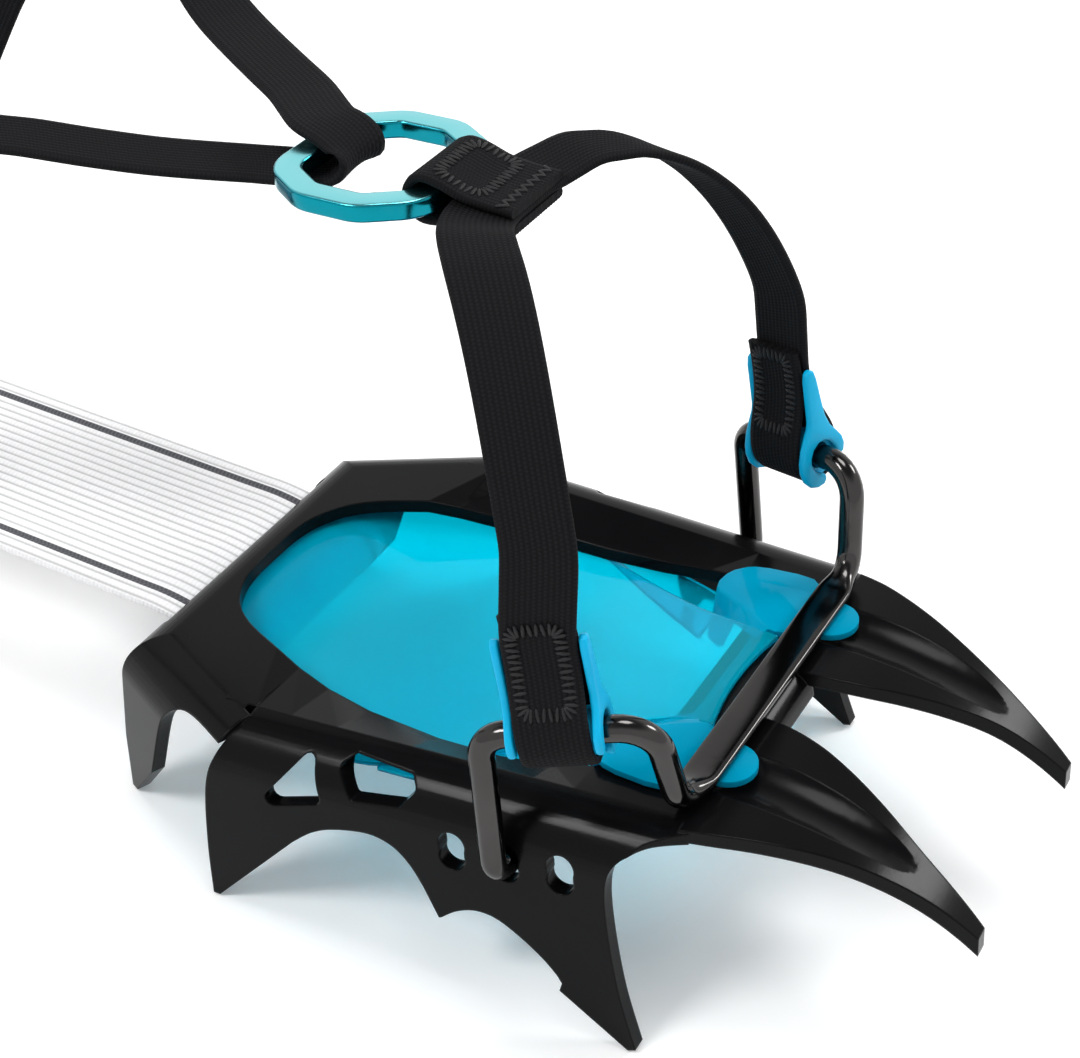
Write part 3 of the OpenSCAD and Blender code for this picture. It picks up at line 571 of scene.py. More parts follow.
def mapped(tree, vector, scale, turn=(0, 0, 0)):
    n = tree.nodes.new("ShaderNodeMapping")
    preset(n, Scale=scale, Rotation=turn)
    tree.links.new(vector, n.inputs["Vector"])
    return n.outputs[0]


def split(tree, vector):
    n = tree.nodes.new("ShaderNodeSeparateXYZ")
    tree.links.new(vector, n.inputs[0])
    return n.outputs


def tint(tree, factor, low, high, socket=None):
    """Mixes two colours, plain or linked."""
    m = tree.nodes.new("ShaderNodeMix")
    m.data_type = "RGBA"
    feed(tree, low, m.inputs[6])
    feed(tree, high, m.inputs[7])
    tree.links.new(factor, m.inputs[0])
    if socket is not None:
        tree.links.new(m.outputs[2], socket)
    return m.outputs[2]


def span(tree, value, low, high, socket=None, over=(0.0, 1.0), ease="LINEAR"):
    """Maps a value that runs over a range to one between low and high."""
    m = tree.nodes.new("ShaderNodeMapRange")
    m.interpolation_type = ease
    for slot, number in zip(m.inputs[1:5], (*over, low, high)):
        slot.default_value = number
    tree.links.new(value, m.inputs[0])
    if socket is not None:
        tree.links.new(m.outputs[0], socket)
    return m.outputs[0]


def relief(tree, height, strength, distance, shader):
    b = tree.nodes.new("ShaderNodeBump")
    preset(b, Strength=strength, Distance=distance)
    tree.links.new(height, b.inputs["Height"])
    tree.links.new(b.outputs[0], shader.inputs["Normal"])


def group(name, inputs, outputs):
    tree = bpy.data.node_groups.new(name, "ShaderNodeTree")
    for label, default in inputs:
        socket = tree.interface.new_socket(label, in_out="INPUT", socket_type="NodeSocketFloat")
        socket.default_value = default
    for label in outputs:
        tree.interface.new_socket(label, in_out="OUTPUT", socket_type="NodeSocketFloat")
    return tree, tree.nodes.new("NodeGroupInput").outputs, tree.nodes.new("NodeGroupOutput").inputs


def surface_group():
    """Fine grain, broad mottling and faint scuffs on hard surfaces, over Object coordinates."""
    tree, given, out = group("Hard surface grain", [("Grain Scale", 1500.0), ("Mottle Scale", 60.0)],
                             ["Grain", "Mottle", "Scuff"])
    place = tree.nodes.new("ShaderNodeTexCoord").outputs["Object"]
    lines = noise_node(tree, mapped(tree, place, (60, 900, 520), (0.3, 0.2, 0.5)), 1.0, 2.0, 0.7)
    strong = times(tree, math_node(tree, "SUBTRACT", lines, 0.62), 6.0)
    scuff = math_node(tree, "SMOOTH_MIN", strong, 1.0, 0.1)
    tree.links.new(noise_node(tree, place, given[0], 2.0, 0.55), out[0])
    tree.links.new(noise_node(tree, place, given[1], 4.0, 0.6), out[1])
    tree.links.new(math_node(tree, "MAXIMUM", scuff, 0.0), out[2])
    return tree


def weave_group():
    """Picks and yarns of ribbed webbing, over the piece's own UV map, in metres across and along."""
    tree, given, out = group("Webbing weave", [("Rib Pitch", 0.001), ("Pick Pitch", 0.0007)],
                             ["Rib", "Pick", "Fuzz", "Across"])
    uv = tree.nodes.new("ShaderNodeUVMap").outputs[0]
    across, along, _ = split(tree, uv)
    ribs = math_node(tree, "DIVIDE", across, given[0])
    picks = math_node(tree, "DIVIDE", along, given[1])
    shift = times(tree, math_node(tree, "FLOOR", ribs), 0.5)
    fuzz = noise_node(tree, mapped(tree, uv, (5200, 900, 1)), 1.0, 3.0, 0.6)
    # Rib runs from 0 in each groove to 1 on each crest, and the finishes paint shade into the grooves with it
    tree.links.new(math_node(tree, "PINGPONG", times(tree, ribs, 2.0), 1.0), out[0])
    tree.links.new(math_node(tree, "PINGPONG", times(tree, plus(tree, picks, shift), 2.0), 1.0), out[1])
    tree.links.new(fuzz, out[2])
    tree.links.new(across, out[3])
    return tree


GROUPS = {}


def shared(name):
    if not GROUPS:
        GROUPS["grain"] = surface_group()
        GROUPS["weave"] = weave_group()
    return GROUPS[name]


def new_finish(name, group_name, **values):
    """A material with one Principled shader and one placed group."""
    mat = bpy.data.materials.new(name)
    mat.use_nodes = True
    tree = mat.node_tree
    g = tree.nodes.new("ShaderNodeGroup")
    g.node_tree = shared(group_name)
    preset(g, **values)
    return mat, tree, tree.nodes["Principled BSDF"], g


def scaled(colour, k):
    return tuple(min(1.0, c * k) for c in colour)


# Finishes

# Shared by the two clear blue finishes
CLEAR = dict(shade=(0.94, 1.05), scales=(420.0, 30.0), rough=(0.04, 0.09), bump=(0.05, 0.0015),
             bump_by="Mottle", IOR=1.2, Specular_IOR_Level=0.12)
# Hard finishes: tone is the colour's property, shade the shares of it between which it runs, scales those of
# grain and mottling, and bump the relief's strength and its depth in metres
HARD = {
    "paint": dict(name="Satin black paint", tone="paint", shade=(0.7, 1.5), scales=(1700.0, 45.0),
                  rough=(0.15, 0.24), scuff=0.10, bump=(0.06, 0.0001), Specular_IOR_Level=0.085),
    "skin": dict(name="Clear blue skin", tone="skin", Transmission_Weight=0.7, **CLEAR),
    "pad": dict(name="Deep blue pad", tone="pad", Transmission_Weight=0.25, **CLEAR),
    "wire": dict(name="Black chrome wire", tone="wire", shade=(0.75, 1.25), scales=(900.0, 70.0),
                 rough=(0.10, 0.17), scuff=0.12, bump=(0.04, 0.0001), Metallic=1.0),
    "keeper": dict(name="Sky-blue keeper", tone="keeper", shade=(0.9, 1.1), scales=(1100.0, 80.0),
                   rough=(0.34, 0.46), bump=(0.12, 0.0001), Specular_IOR_Level=0.2),
    "thread": dict(name="Stitching thread", tone="webbing", shade=(0.78, 1.95), shade_by="Grain",
                   scales=(3800.0, 240.0), rough=(0.42, 0.6), bump=(0.4, 0.0001), Specular_IOR_Level=0.25),
    "plastic": dict(name="Black moulded plastic", tone="plastic", shade=(0.7, 1.4), shade_by="Grain",
                    scales=(2300.0, 60.0), rough=(0.40, 0.54), bump=(0.30, 0.00012),
                    Specular_IOR_Level=0.2),
    "steel": dict(name="Bare steel", tone="steel", shade=(0.8, 1.15), scales=(1900.0, 130.0),
                  rough=(0.24, 0.36), scuff=0.15, bump=(0.08, 0.0001), Metallic=1.0),
}
RING_METAL = dict(name="Anodised ring", scales=(2600.0, 110.0), rough=(0.16, 0.24), scuff=0.08,
                  bump=(0.06, 0.00008), Metallic=1.0)
# How far from the ring bar's side its flats, pale with a painted highlight, begin and end to deepen into the
# painted shade of its sides, in millimetres
RING_SHADE_BAND = (0.4, 0.1)
# Middle and half width of the link webbing's dark stripes, in metres from its middle
STRIPE_AT = 0.0176
STRIPE_HALF = 0.00078
# Distance between two picks of the black and of the white webbing, in metres
WEB_PICK = 0.00062
LINK_PICK = 0.0009


def hard_body(name, scales, rough, bump, bump_by="Grain", scuff=0.0, **plain):
    """A hard finish without its colour."""
    mat, tree, shader, g = new_finish(name, "grain", Grain_Scale=scales[0], Mottle_Scale=scales[1])
    value = span(tree, g.outputs["Mottle"], *rough)
    if scuff:
        value = plus(tree, value, times(tree, g.outputs["Scuff"], scuff))
    tree.links.new(value, shader.inputs["Roughness"])
    preset(shader, **plain)
    relief(tree, g.outputs[bump_by], *bump, shader)
    return mat, tree, shader, g


def hard_finish(tone, shade, shade_by="Mottle", **body):
    mat, tree, shader, g = hard_body(**body)
    low, high = (scaled(getattr(colours(), tone), k) for k in shade)
    tint(tree, g.outputs[shade_by], low, high, shader.inputs["Base Color"])
    return mat


def paint_finish():
    """Satin paint, with the stamped edges rounded in shading."""
    mat = hard_finish(**HARD["paint"])
    tree = mat.node_tree
    rounded = tree.nodes.new("ShaderNodeBevel")
    rounded.samples = 8
    preset(rounded, Radius=sizes().edge_radius)
    tree.links.new(rounded.outputs[0], tree.nodes["Bump"].inputs["Normal"])
    return mat


def ring_finish():
    """Anodised metal, with a painted highlight on its polished flats and painted shade on its sides."""
    mat, tree, shader, g = hard_body(**RING_METAL)
    across = split(tree, tree.nodes.new("ShaderNodeUVMap").outputs[0])[0]
    fade = [(RING_BAR_HALF[0] - inset) / 1000 for inset in RING_SHADE_BAND]
    # Mask of the bar's sides, which take the painted shade, against its flats, which take the painted
    # highlight
    side = span(tree, math_node(tree, "ABSOLUTE", across), 0.0, 1.0, over=fade)
    blend = plus(tree, side, span(tree, g.outputs["Mottle"], -0.06, 0.06))
    tint(tree, blend, tuple(colours().ring), tuple(colours().ring_shaded_side), shader.inputs["Base Color"])
    return mat


def rib_pitch(width, thick, ribs):
    """Distance between the ribs of webbing, in the units given."""
    return (width - thick * EDGE_SHARE) / ribs


def yarn(tree, g, pick_share, fuzz_share):
    """Picks and fuzz of the weave, added up."""
    return plus(tree, times(tree, g.outputs["Pick"], pick_share), times(tree, g.outputs["Fuzz"], fuzz_share))


def webbing_finish():
    """Black webbing, with a painted highlight on its ribs' crests and painted shade in the grooves between
    them.
    """
    s, base = sizes(), colours().webbing
    mat, tree, shader, g = new_finish("Black ribbed webbing", "weave", Pick_Pitch=WEB_PICK,
                                      Rib_Pitch=rib_pitch(s.web_width, s.web_thickness, s.web_ribs))
    # Yarn tone times painted shade across each rib: darker in the grooves, lighter on the crests
    shade = times(tree, yarn(tree, g, 0.45, 0.55), span(tree, g.outputs["Rib"], 0.35, 1.15))
    tint(tree, shade, scaled(base, 0.55), scaled(base, 2.0), shader.inputs["Base Color"])
    span(tree, g.outputs["Fuzz"], 0.62, 0.8, shader.inputs["Roughness"])
    preset(shader, Specular_IOR_Level=0.06, Sheen_Weight=0.01, Sheen_Roughness=0.45)
    relief(tree, yarn(tree, g, 0.6, 0.5), 0.5, 0.00018, shader)
    return mat


def link_finish():
    """White webbing with ribs, picks, painted shade in the grooves between ribs, and one dark stripe near
    each edge.
    """
    s, base, stripe = sizes(), colours().link, colours().stripe
    mat, tree, shader, g = new_finish("White link webbing", "weave", Pick_Pitch=LINK_PICK,
                                      Rib_Pitch=rib_pitch(s.link_width, s.link_thickness, s.link_ribs))
    shade = yarn(tree, g, 0.5, 0.5)
    # Painted shade in the grooves between ribs: dark in each groove, full on the crests
    painted_groove_shade = math_node(tree, "SMOOTH_MIN", times(tree, g.outputs["Rib"], 2.2), 1.0, 0.3)
    tone_and_groove_shade = times(tree, painted_groove_shade, span(tree, shade, 0.72, 1.1))
    white = tint(tree, tone_and_groove_shade, scaled(base, 0.56), scaled(base, 1.08))
    dark = tint(tree, shade, scaled(stripe, 0.5), scaled(stripe, 4.5))
    across = math_node(tree, "ABSOLUTE", g.outputs["Across"])
    off = math_node(tree, "ABSOLUTE", math_node(tree, "SUBTRACT", across, STRIPE_AT))
    inside = math_node(tree, "LESS_THAN", off, STRIPE_HALF)
    tint(tree, inside, white, dark, shader.inputs["Base Color"])
    span(tree, g.outputs["Fuzz"], 0.6, 0.8, shader.inputs["Roughness"])
    preset(shader, Specular_IOR_Level=0.25)
    relief(tree, yarn(tree, g, 0.7, 0.4), 0.5, 0.0003, shader)
    return mat


FINISHES = {}


def finish(name):
    """The named finish, made at its first use."""
    if name not in FINISHES:
        own = {"paint": paint_finish, "web": webbing_finish, "link": link_finish, "ring": ring_finish}
        FINISHES[name] = own[name]() if name in own else hard_finish(**HARD[name])
    return FINISHES[name]


def dress(obj, name):
    obj.data.materials.clear()
    obj.data.materials.append(finish(name))


def done(obj, name, body, *nodes):
    """Gives a piece its finish and its body, and hides the CAD nodes it stands for."""
    if len(obj.data.polygons) == 0:
        raise RuntimeError(f"{obj.name} has no faces")
    dress(obj, name)
    if nodes:
        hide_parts(*nodes)
    if body:
        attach(obj, body)
    return obj


# Toe bail, its keepers and the instep straps, in millimetres

# One half of the bail, from the toe strip to its hook in the frame, and the radius of each bend
BAIL_TOP = ((-4.2, 37.4, 21.1), (-29.2, 46.6, 17.6))
BAIL_HALF = ((-2.9, 25.5, 2.6), (-3.1, 33, 2.5), *BAIL_TOP, (-28.8, 47.6, -10.6), (-28.8, 37, -10.6))
BAIL_TURN = (0, 5, 6, 4.5, 3.4, 0)
# Flattened toe strip: half length, length of each fade, and half width and half thickness
STRIP_END = 31.5
STRIP_FADE = 6.0
STRIP_HALF = (3.0, 0.8)
# How square the strip's section is, and how far back and how high the wire can be flat
STRIP_SQUARE = 0.62
STRIP_LIMITS = (-8, 51)
# Points round the wire and the longest step along it
WIRE_SIDES = 24
WIRE_STEP = 1.6
# Instep strap's curve from its keeper to the ring tab, and the part of it that is used
YOKE = ((-16.7, 42, 64), (-22.9, 45.2, 93.1), (-33, 33, 136), (-60.2, 4, 121))
YOKE_FROM = 0.3
YOKE_PART = 0.47
YOKE_STEPS = 13
STRAP_END = ((-48.6, 15.8, 123.6), (-50.9, 12.1, 122.2), (-52.3, 9.4, 121.6), (-53, 6.6, 121.5),
             (-53.1, 3.6, 121.5), (-53.1, 0.02, 121.5))
# Axes of the far keeper: along the wire, outboard and up the strap
KEEPER_U = (lifted(BAIL_TOP[0]) - lifted(BAIL_TOP[1])).normalized()
KEEPER_C = lifted(BAIL_TOP[1]).lerp(lifted(BAIL_TOP[0]), 0.47)
STRAP_UP = (bezier(YOKE, YOKE_FROM) - KEEPER_C).normalized()
KEEPER_Z = (STRAP_UP - KEEPER_U * STRAP_UP.dot(KEEPER_U)).normalized()
KEEPER_Y = KEEPER_Z.cross(KEEPER_U)
# Keeper sleeve: inner and outer radius and half length
SLEEVE = (2.4, 3.7, 6.05)
# Forked flange at each end of a keeper: outboard and up, with the wire at the origin
FORK = ((0, 17.2), (0.9, 16.6), (1.3, 15), (1.6, 11), (1.9, 7.6), (2.7, 5.2), (4, 3.4), (5, 1.8),
        (5.3, 0.2), (4.9, -1.2), (4, -1.5), (3.3, -0.8), (2.9, 0.8), (2, 2.2), (0.7, 2.95), (-0.7, 2.95),
        (-2, 2.2), (-2.8, 0.9), (-2.95, -0.6), (-2.4, -1.9), (-1.4, -2.8), (-0.2, -3.3), (0, -4.4),
        (-0.8, -5.2), (-2.4, -5.2), (-3.9, -4.5), (-5, -3), (-5.4, -1), (-5.2, 0.8), (-4.4, 3), (-3.2, 5),
        (-2.3, 6.4), (-1.9, 7.6), (-1.6, 11), (-1.3, 15), (-0.9, 16.6))
FORK_T = 1.35
FORK_EDGE = 0.5
# Half distance between a strap's two sewn layers
LAP = 0.86
# Loop of a strap round its keeper: gap over the sleeve, half thickness of the webbing, and radius
LOOP_GAP = 0.2
WEB_HALF_T = 0.8
LOOP_R = SLEEVE[1] + LOOP_GAP + WEB_HALF_T
# Half distance between a strap's two layers, against the height over the wire, and where the inner one ends
LOOP_HALF = ((3.9, LOOP_R - 0.4), (7.6, 2.6), (10.5, 1.6), (13.5, 1.05), (17, LAP), (60, LAP))
LOOP_TOP = 20.5
# Stitched box on a strap's loop: half width, half length and corner, and its middle over the wire
LOOP_BOX = (3.7, 6.6, 1.2)
LOOP_BOX_Z = 12.6
# Longest step along a strap
STRAP_STEP = 1.2
# Width direction near the strap's upper end, and the point where it starts to turn with the points this takes
STRAP_WIDE = Vector((0.96, -0.25, 0.05))
STRAP_TURN = (20, 12)
# Points at the strap's upper end that lie flat in the tab
STRAP_FLAT = 4


def keeper_at(v):
    return KEEPER_C + KEEPER_U * v[0] + KEEPER_Y * v[1] + KEEPER_Z * v[2]


def strap_line():
    """The far instep strap's middle line and width directions."""
    legs = list(reversed(LOOP_HALF[:-1]))
    loop = [(0, -LAP, LOOP_TOP)] + [(0, -y, z) for z, y in legs]
    loop += [(0, y, z) for y, z in arc(LOOP_R, range(180, 361, 20))]
    loop += [(0, y, z) for z, y in reversed(legs)]
    path = [keeper_at(v) for v in loop]
    path += [bezier(YOKE, YOKE_FROM + YOKE_PART * i / YOKE_STEPS) for i in range(YOKE_STEPS + 1)]
    path += [Vector(p) for p in STRAP_END]
    start, steps = STRAP_TURN
    sides = [KEEPER_U.lerp(STRAP_WIDE, clamped((i - start) / steps)) for i in range(len(path))]
    sides[-STRAP_FLAT:] = [Vector((1, 0, 0))] * STRAP_FLAT
    return flowing(path, sides, STRAP_STEP, 5)


class CRAMPON_OT_frames(bpy.types.Operator):
    """Rounds the stamped edges of both frames and paints them"""

    bl_idname = "crampon.frames"
    bl_label = "Frames"

    def execute(self, context):
        for body in ("front", "heel"):
            plate = merged_copy(f"{body}_plate", f"{body}_frame")
            soften(plate, 12)
            finish_mod(plate, "WEIGHTED_NORMAL", mode="FACE_AREA", weight=50, keep_sharp=True)
            done(plate, "paint", body, f"{body}_plate")
        return {"FINISHED"}


# Blue front plate, in millimetres of the leaning front section

# Tongue that rises to the toe: its grid, its rear end, its half width and its height
TONGUE_GRID = (40, 100)
TONGUE_REAR = -107
# Front edge of the tongue at its middle, and how far its corners stand ahead of that
TONGUE_FRONT = (-8.8, 1.6)
TONGUE_HALF = ((-107, 18), (-103.5, 23.5), (-96, 28.5), (-86, 33), (-77, 36.4), (-62, 37.2), (-54, 34.4),
               (-44, 28.2), (-34, 22.4), (-24, 17.2), (-16, 14.2), (-6, 12.4))
TONGUE_TOP = ((-112, -3.2), (-100, -3.6), (-88, -7.2), (-47, -7.2), (-14, 1.2), (-3, 1.2))
TONGUE_EDGE = 0.35
SKIN_T = 1.1
# Lip under each side of the tongue: outer edge, places of the inner edge, its lap, and its two faces
LIP_OUT = ((-58, 37), (-48, 36.2), (-43, 35.4), (-38, 33), (-30, 30.4), (-25.6, 29), (-24.2, 26.6))
LIP_IN = (-24.2, -32, -38, -44, -50, -58)
LIP_LAP = 1.5
LIP_Z = (-8.2, -7.25)
# Raised pad at each front corner: heights of its top and its wall's foot, and its outline
PAD_TOP = 1.45
PAD_LOW = -8.4
PAD_WALL = ((-9.5, 13.4), (-12, 14.8), (-16, 17.2), (-19.5, 18.8), (-21.8, 19.8), (-22.8, 21), (-23.2, 22.6),
            (-22.9, 24.8), (-22.2, 26.4), (-21, 27.6))
# How far a pad's wall flares back and inward, and where across the pad the inward part starts and is full
PAD_FLARE = (-1.2, -2.8)
PAD_FLARE_Y = (27, 19)
PAD_FRONT = ((-19, 28.6), (-16.5, 29.2), (-11, 29.6), (-8, 29.3), (-6.4, 28), (-5.9, 26.2), (-5.2, 25.2))
# Middle and radius of a pad's round tab
PAD_TAB = (-0.9, 20.2, 4.7)
PAD_BACK = ((-4.6, 15.5), (-6.2, 14.5), (-6.7, 13.5), (-8, 13))
PAD_SINK = 0.5
PAD_EDGE = 0.25
# Rounding of the heel's blue plate, in metres
HEEL_SKIN_EDGE = 0.0004


def tongue_half(x):
    return sum(table_at(TONGUE_HALF, x + d) for d in (-2, 0, 2)) / 3


def tongue_top(x):
    return sum(table_at(TONGUE_TOP, x + d) for d in (-4, -2, 0, 2, 4)) / 5


def thickened(obj, edge, **settings):
    """Gives a blue sheet its thickness and rounded edges."""
    finish_mod(obj, "SOLIDIFY", thickness=SKIN_T, offset=-1, **settings)
    finish_mod(obj, "BEVEL", width=edge, segments=2, limit_method="ANGLE", angle_limit=SHARP)
    return obj


def blue_tongue():
    across, along = TONGUE_GRID

    def spot(i, j):
        s = 1 - 2 * i / across
        front = TONGUE_FRONT[0] + TONGUE_FRONT[1] * s * s
        x = TONGUE_REAR + (front - TONGUE_REAR) * j / along
        return Vector((x, tongue_half(x) * s, tongue_top(x)))

    obj = sheet_grid("tongue", across, along)
    lay_out(obj, across, along, spot)
    return thickened(obj, TONGUE_EDGE)


def blue_pad():
    """The far corner pad: a flat top whose inner and rear edges turn down as a wall."""
    tab = [(PAD_TAB[0] + x, PAD_TAB[1] + y) for x, y in arc(PAD_TAB[2], range(110, -111, -10))]
    outline = [Vector((x, y, PAD_TOP)) for x, y in (*PAD_WALL, *PAD_FRONT, *tab, *PAD_BACK)]
    obj = flat_face("pad", outline)
    mesh, n = obj.data, len(PAD_WALL)
    with editing(obj):
        bpy.ops.mesh.select_all(action="DESELECT")
    for e in mesh.edges:
        e.select = max(e.vertices) < n and abs(e.vertices[0] - e.vertices[1]) == 1
    for v in mesh.vertices:
        v.select = v.index < n
    bpy.ops.object.mode_set(mode="EDIT")
    bpy.ops.mesh.select_mode(type="EDGE")
    bpy.ops.mesh.extrude_edges_move(TRANSFORM_OT_translate={"value": (0, 0, PAD_LOW - PAD_TOP)})
    bpy.ops.object.mode_set(mode="OBJECT")
    start, full = PAD_FLARE_Y
    for v in mesh.vertices:
        if v.co.z < 0:
            inner = clamped((start - v.co.y) / (start - full))
            v.co.x += PAD_FLARE[0]
            v.co.y += PAD_FLARE[1] * inner
            if v.co.y < tongue_half(v.co.x):
                v.co.z = max(PAD_LOW, tongue_top(v.co.x) - PAD_SINK)
    for e in mesh.edges:
        a, b = (mesh.vertices[k] for k in e.vertices)
        e.select = min(a.co.z, b.co.z) > PAD_TOP - 0.01 and max(e.vertices) < n
    bpy.ops.object.mode_set(mode="EDIT")
    bpy.ops.mesh.bevel(offset=1.0, segments=4, affect="EDGES", clamp_overlap=True)
    bpy.ops.mesh.select_mode(type="VERT")
    faces_out()
    bpy.ops.object.mode_set(mode="OBJECT")
    top = max(mesh.polygons, key=lambda f: f.area)
    if top.normal.z < 0:
        mesh.flip_normals()
    return thickened(obj, PAD_EDGE, use_even_offset=True)


class CRAMPON_OT_skins(bpy.types.Operator):
    """Forms the clear blue plates in both frames"""

    bl_idname = "crampon.skins"
    bl_label = "Blue plates"

    def execute(self, context):
        low, high = LIP_Z
        lip = [Vector((x, y, low)) for x, y in LIP_OUT]
        lip += [Vector((x, tongue_half(x) - LIP_LAP, low)) for x in LIP_IN]
        far_lip = thick_plate("lip", lip, (0, 0, high - low), PAD_EDGE)
        far_pad = blue_pad()
        front = joined("front_blue_plate", [blue_tongue(), far_lip, mirrored(far_lip, "near_lip")])
        pads = joined("front_blue_pads", [far_pad, mirrored(far_pad, "near_pad")])
        for piece, name in ((front, "skin"), (pads, "pad")):
            placed(piece, lambda p: row(lifted(p)))
            soften(piece, 32)
            done(piece, name, "front", "front_antiball_plate")
        heel = eased_copy("heel_antiball_plate", "heel_blue_plate", HEEL_SKIN_EDGE)
        done(heel, "skin", "heel", "heel_antiball_plate")
        return {"FINISHED"}


class CRAMPON_OT_wires(bpy.types.Operator):
    """Bends the toe bail and flattens it across the toe, and finishes the heel wire"""

    bl_idname = "crampon.wires"
    bl_label = "Wires"

    def execute(self, context):
        r = sizes().wire_diameter * 500
        half = [lifted(p) for p in rounded_path(BAIL_HALF, BAIL_TURN)]
        line = even([flip(p) for p in reversed(half)] + half, WIRE_STEP)
        along = Vector((math.cos(TOE_RISE), 0, math.sin(TOE_RISE)))
        sides = []
        for f in headings(line):
            s = along - f * along.dot(f)
            sides.append(s.normalized() if s.length > 0.2 else sides[-1])

        def outline(j):
            p, (rear, roof) = line[j], STRIP_LIMITS
            flat = clamped((STRIP_END - abs(p.y)) / STRIP_FADE) if p.x > rear and p.z < roof else 0.0
            flat = flat * flat * (3 - 2 * flat)
            a, b = (r + (full - r) * flat for full in STRIP_HALF)
            power = 1 - STRIP_SQUARE * flat
            ring = []
            for k in range(WIRE_SIDES):
                t = 2 * math.pi * k / WIRE_SIDES
                c, s = math.cos(t), math.sin(t)
                ring.append((a * math.copysign(abs(c) ** power, c), b * math.copysign(abs(s) ** power, s)))
            return ring

        bail = swept("toe_bail_wire", line, sides, outline)
        soften(bail, 50)
        done(bail, "wire", "bail", "toe_bail")
        heel = merged_copy("heel_wire", "heel_wire_bent", flat=0.05)
        soften(heel, 40)
        done(heel, "wire", "heel_bail", "heel_wire")
        return {"FINISHED"}


class CRAMPON_OT_keepers(bpy.types.Operator):
    """Moulds the blue keepers on the bail: a sleeve with a forked flange at each end"""

    bl_idname = "crampon.keepers"
    bl_label = "Bail keepers"

    def execute(self, context):
        inner, outer, half = SLEEVE
        pieces = [thick_plate("flange", [Vector((start, y, z)) for y, z in FORK], (FORK_T, 0, 0), FORK_EDGE)
                  for start in (half, -half - FORK_T)]
        clear()
        bpy.ops.mesh.primitive_circle_add(vertices=40, radius=outer, rotation=(0, math.pi / 2, 0),
                                          location=(-half, 0, 0))
        tube = context.object
        bpy.ops.object.transform_apply(location=True, rotation=True, scale=True)
        raised(tube, (2 * half, 0, 0))
        finish_mod(tube, "SOLIDIFY", thickness=outer - inner, offset=-1)
        far = joined("far_keeper", [*pieces, tube])
        placed(far, lambda p: row(keeper_at(p)))
        near = mirrored(far, "near_keeper")
        for keeper, node in ((far, "far_bail_keeper"), (near, "near_bail_keeper")):
            soften(keeper, 40)
            done(keeper, "keeper", "bail", node)
        return {"FINISHED"}


class CRAMPON_OT_instep(bpy.types.Operator):
    """Lays the two instep straps with their sewn loops and stitching"""

    bl_idname = "crampon.instep"
    bl_label = "Instep straps"

    def execute(self, context):
        path, sides = strap_line()
        marks = box_marks(*LOOP_BOX)
        lay = sizes().web_thickness * 500
        for side, turn in (("near", flip), ("far", Vector)):
            black_web(f"{side}_strap", [turn(p) for p in path], [turn(v) for v in sides], "bail",
                      f"{side}_instep_strap")
            for face, out in (("outer", 1), ("inner", -1)):
                def surface(x, y):
                    z = LOOP_BOX_Z + y
                    return turn(keeper_at((x, out * (table_at(LOOP_HALF, z) + lay), z)))

                satin_rows(f"{side}_strap_{face}_stitching", surface, marks)
        return {"FINISHED"}


# Ring and its tab, in millimetres

# The ring's middle and lean, and the middles of its front and rear bars
RING_AT = Vector((-75, 0, 121))
RING_LEAN = math.radians(3)
RING_BAR = Vector((-62.516, 0, 121.654))
RING_BACK = Vector((-87.483, 0, 120.346))
# Corners of a quarter of the middle line, their radius, its longest step, and the bar's half sizes and edge
RING_HALF = ((12.5, 9.0), (4.7, 14))
RING_CORNER = 5.5
RING_STEP = 1.5
RING_BAR_HALF = (2.25, 1.55, 0.5)
# Layers of the ring tab along the front section, its half width, its ribs and its longest step
TAB_TOP = ((-62.5, 125.25), (-59.5, 124.7), (-56.5, 123.6), (-52, 123.25), (-47.2, 123.2))
TAB_UNDER = ((-47.2, 120.2), (-52, 120.1), (-56.5, 119.7), (-59.5, 118.6))
TAB_HALF = 7.75
TAB_RIBS = 18
TAB_RIB_DEPTH = 0.1
TAB_STEP = 0.9
# Stitched box on the tab: half width, half length and corner, and where its middle is
TAB_BOX = (5.7, 4.1, 1.6)
TAB_BOX_X = -57.4
# Zigzag across the tab: its place, first stitch, pitch, count and lean in degrees
ZIGZAG = (-49.2, -7, 0.9, 16, 32)


def ring_line():
    """The ring's middle line and width directions."""
    quarter = [Vector((x, y, 0)) for x, y in RING_HALF]
    half = quarter + [Vector((-v.x, v.y, 0)) for v in reversed(quarter)]
    loop = half + [flip(v) for v in reversed(half)]
    start = (loop[-1] + loop[0]) / 2
    path = rounded_path([start] + loop + [start], [0] + [RING_CORNER] * len(loop) + [0], 10)
    lean = Matrix.Rotation(-RING_LEAN, 3, "Y")
    path = [RING_AT + lean @ p for p in even(path, RING_STEP)]
    up = lean @ Vector((0, 0, 1))
    return path, [up.cross(f) for f in headings(path, True)]


def tab_line():
    """The ring tab's middle line: under the ring's front bar, round it and back over it."""
    turn = [(RING_BAR.x - s, RING_BAR.z - c) for c, s in arc(TAB_TOP[0][1] - RING_BAR.z, range(0, 181, 15))]
    path = [Vector((x, 0, z)) for x, z in (*TAB_UNDER, *turn, *TAB_TOP[1:])]
    return flowing(path, [Vector((0, 1, 0))] * len(path), TAB_STEP, 4)


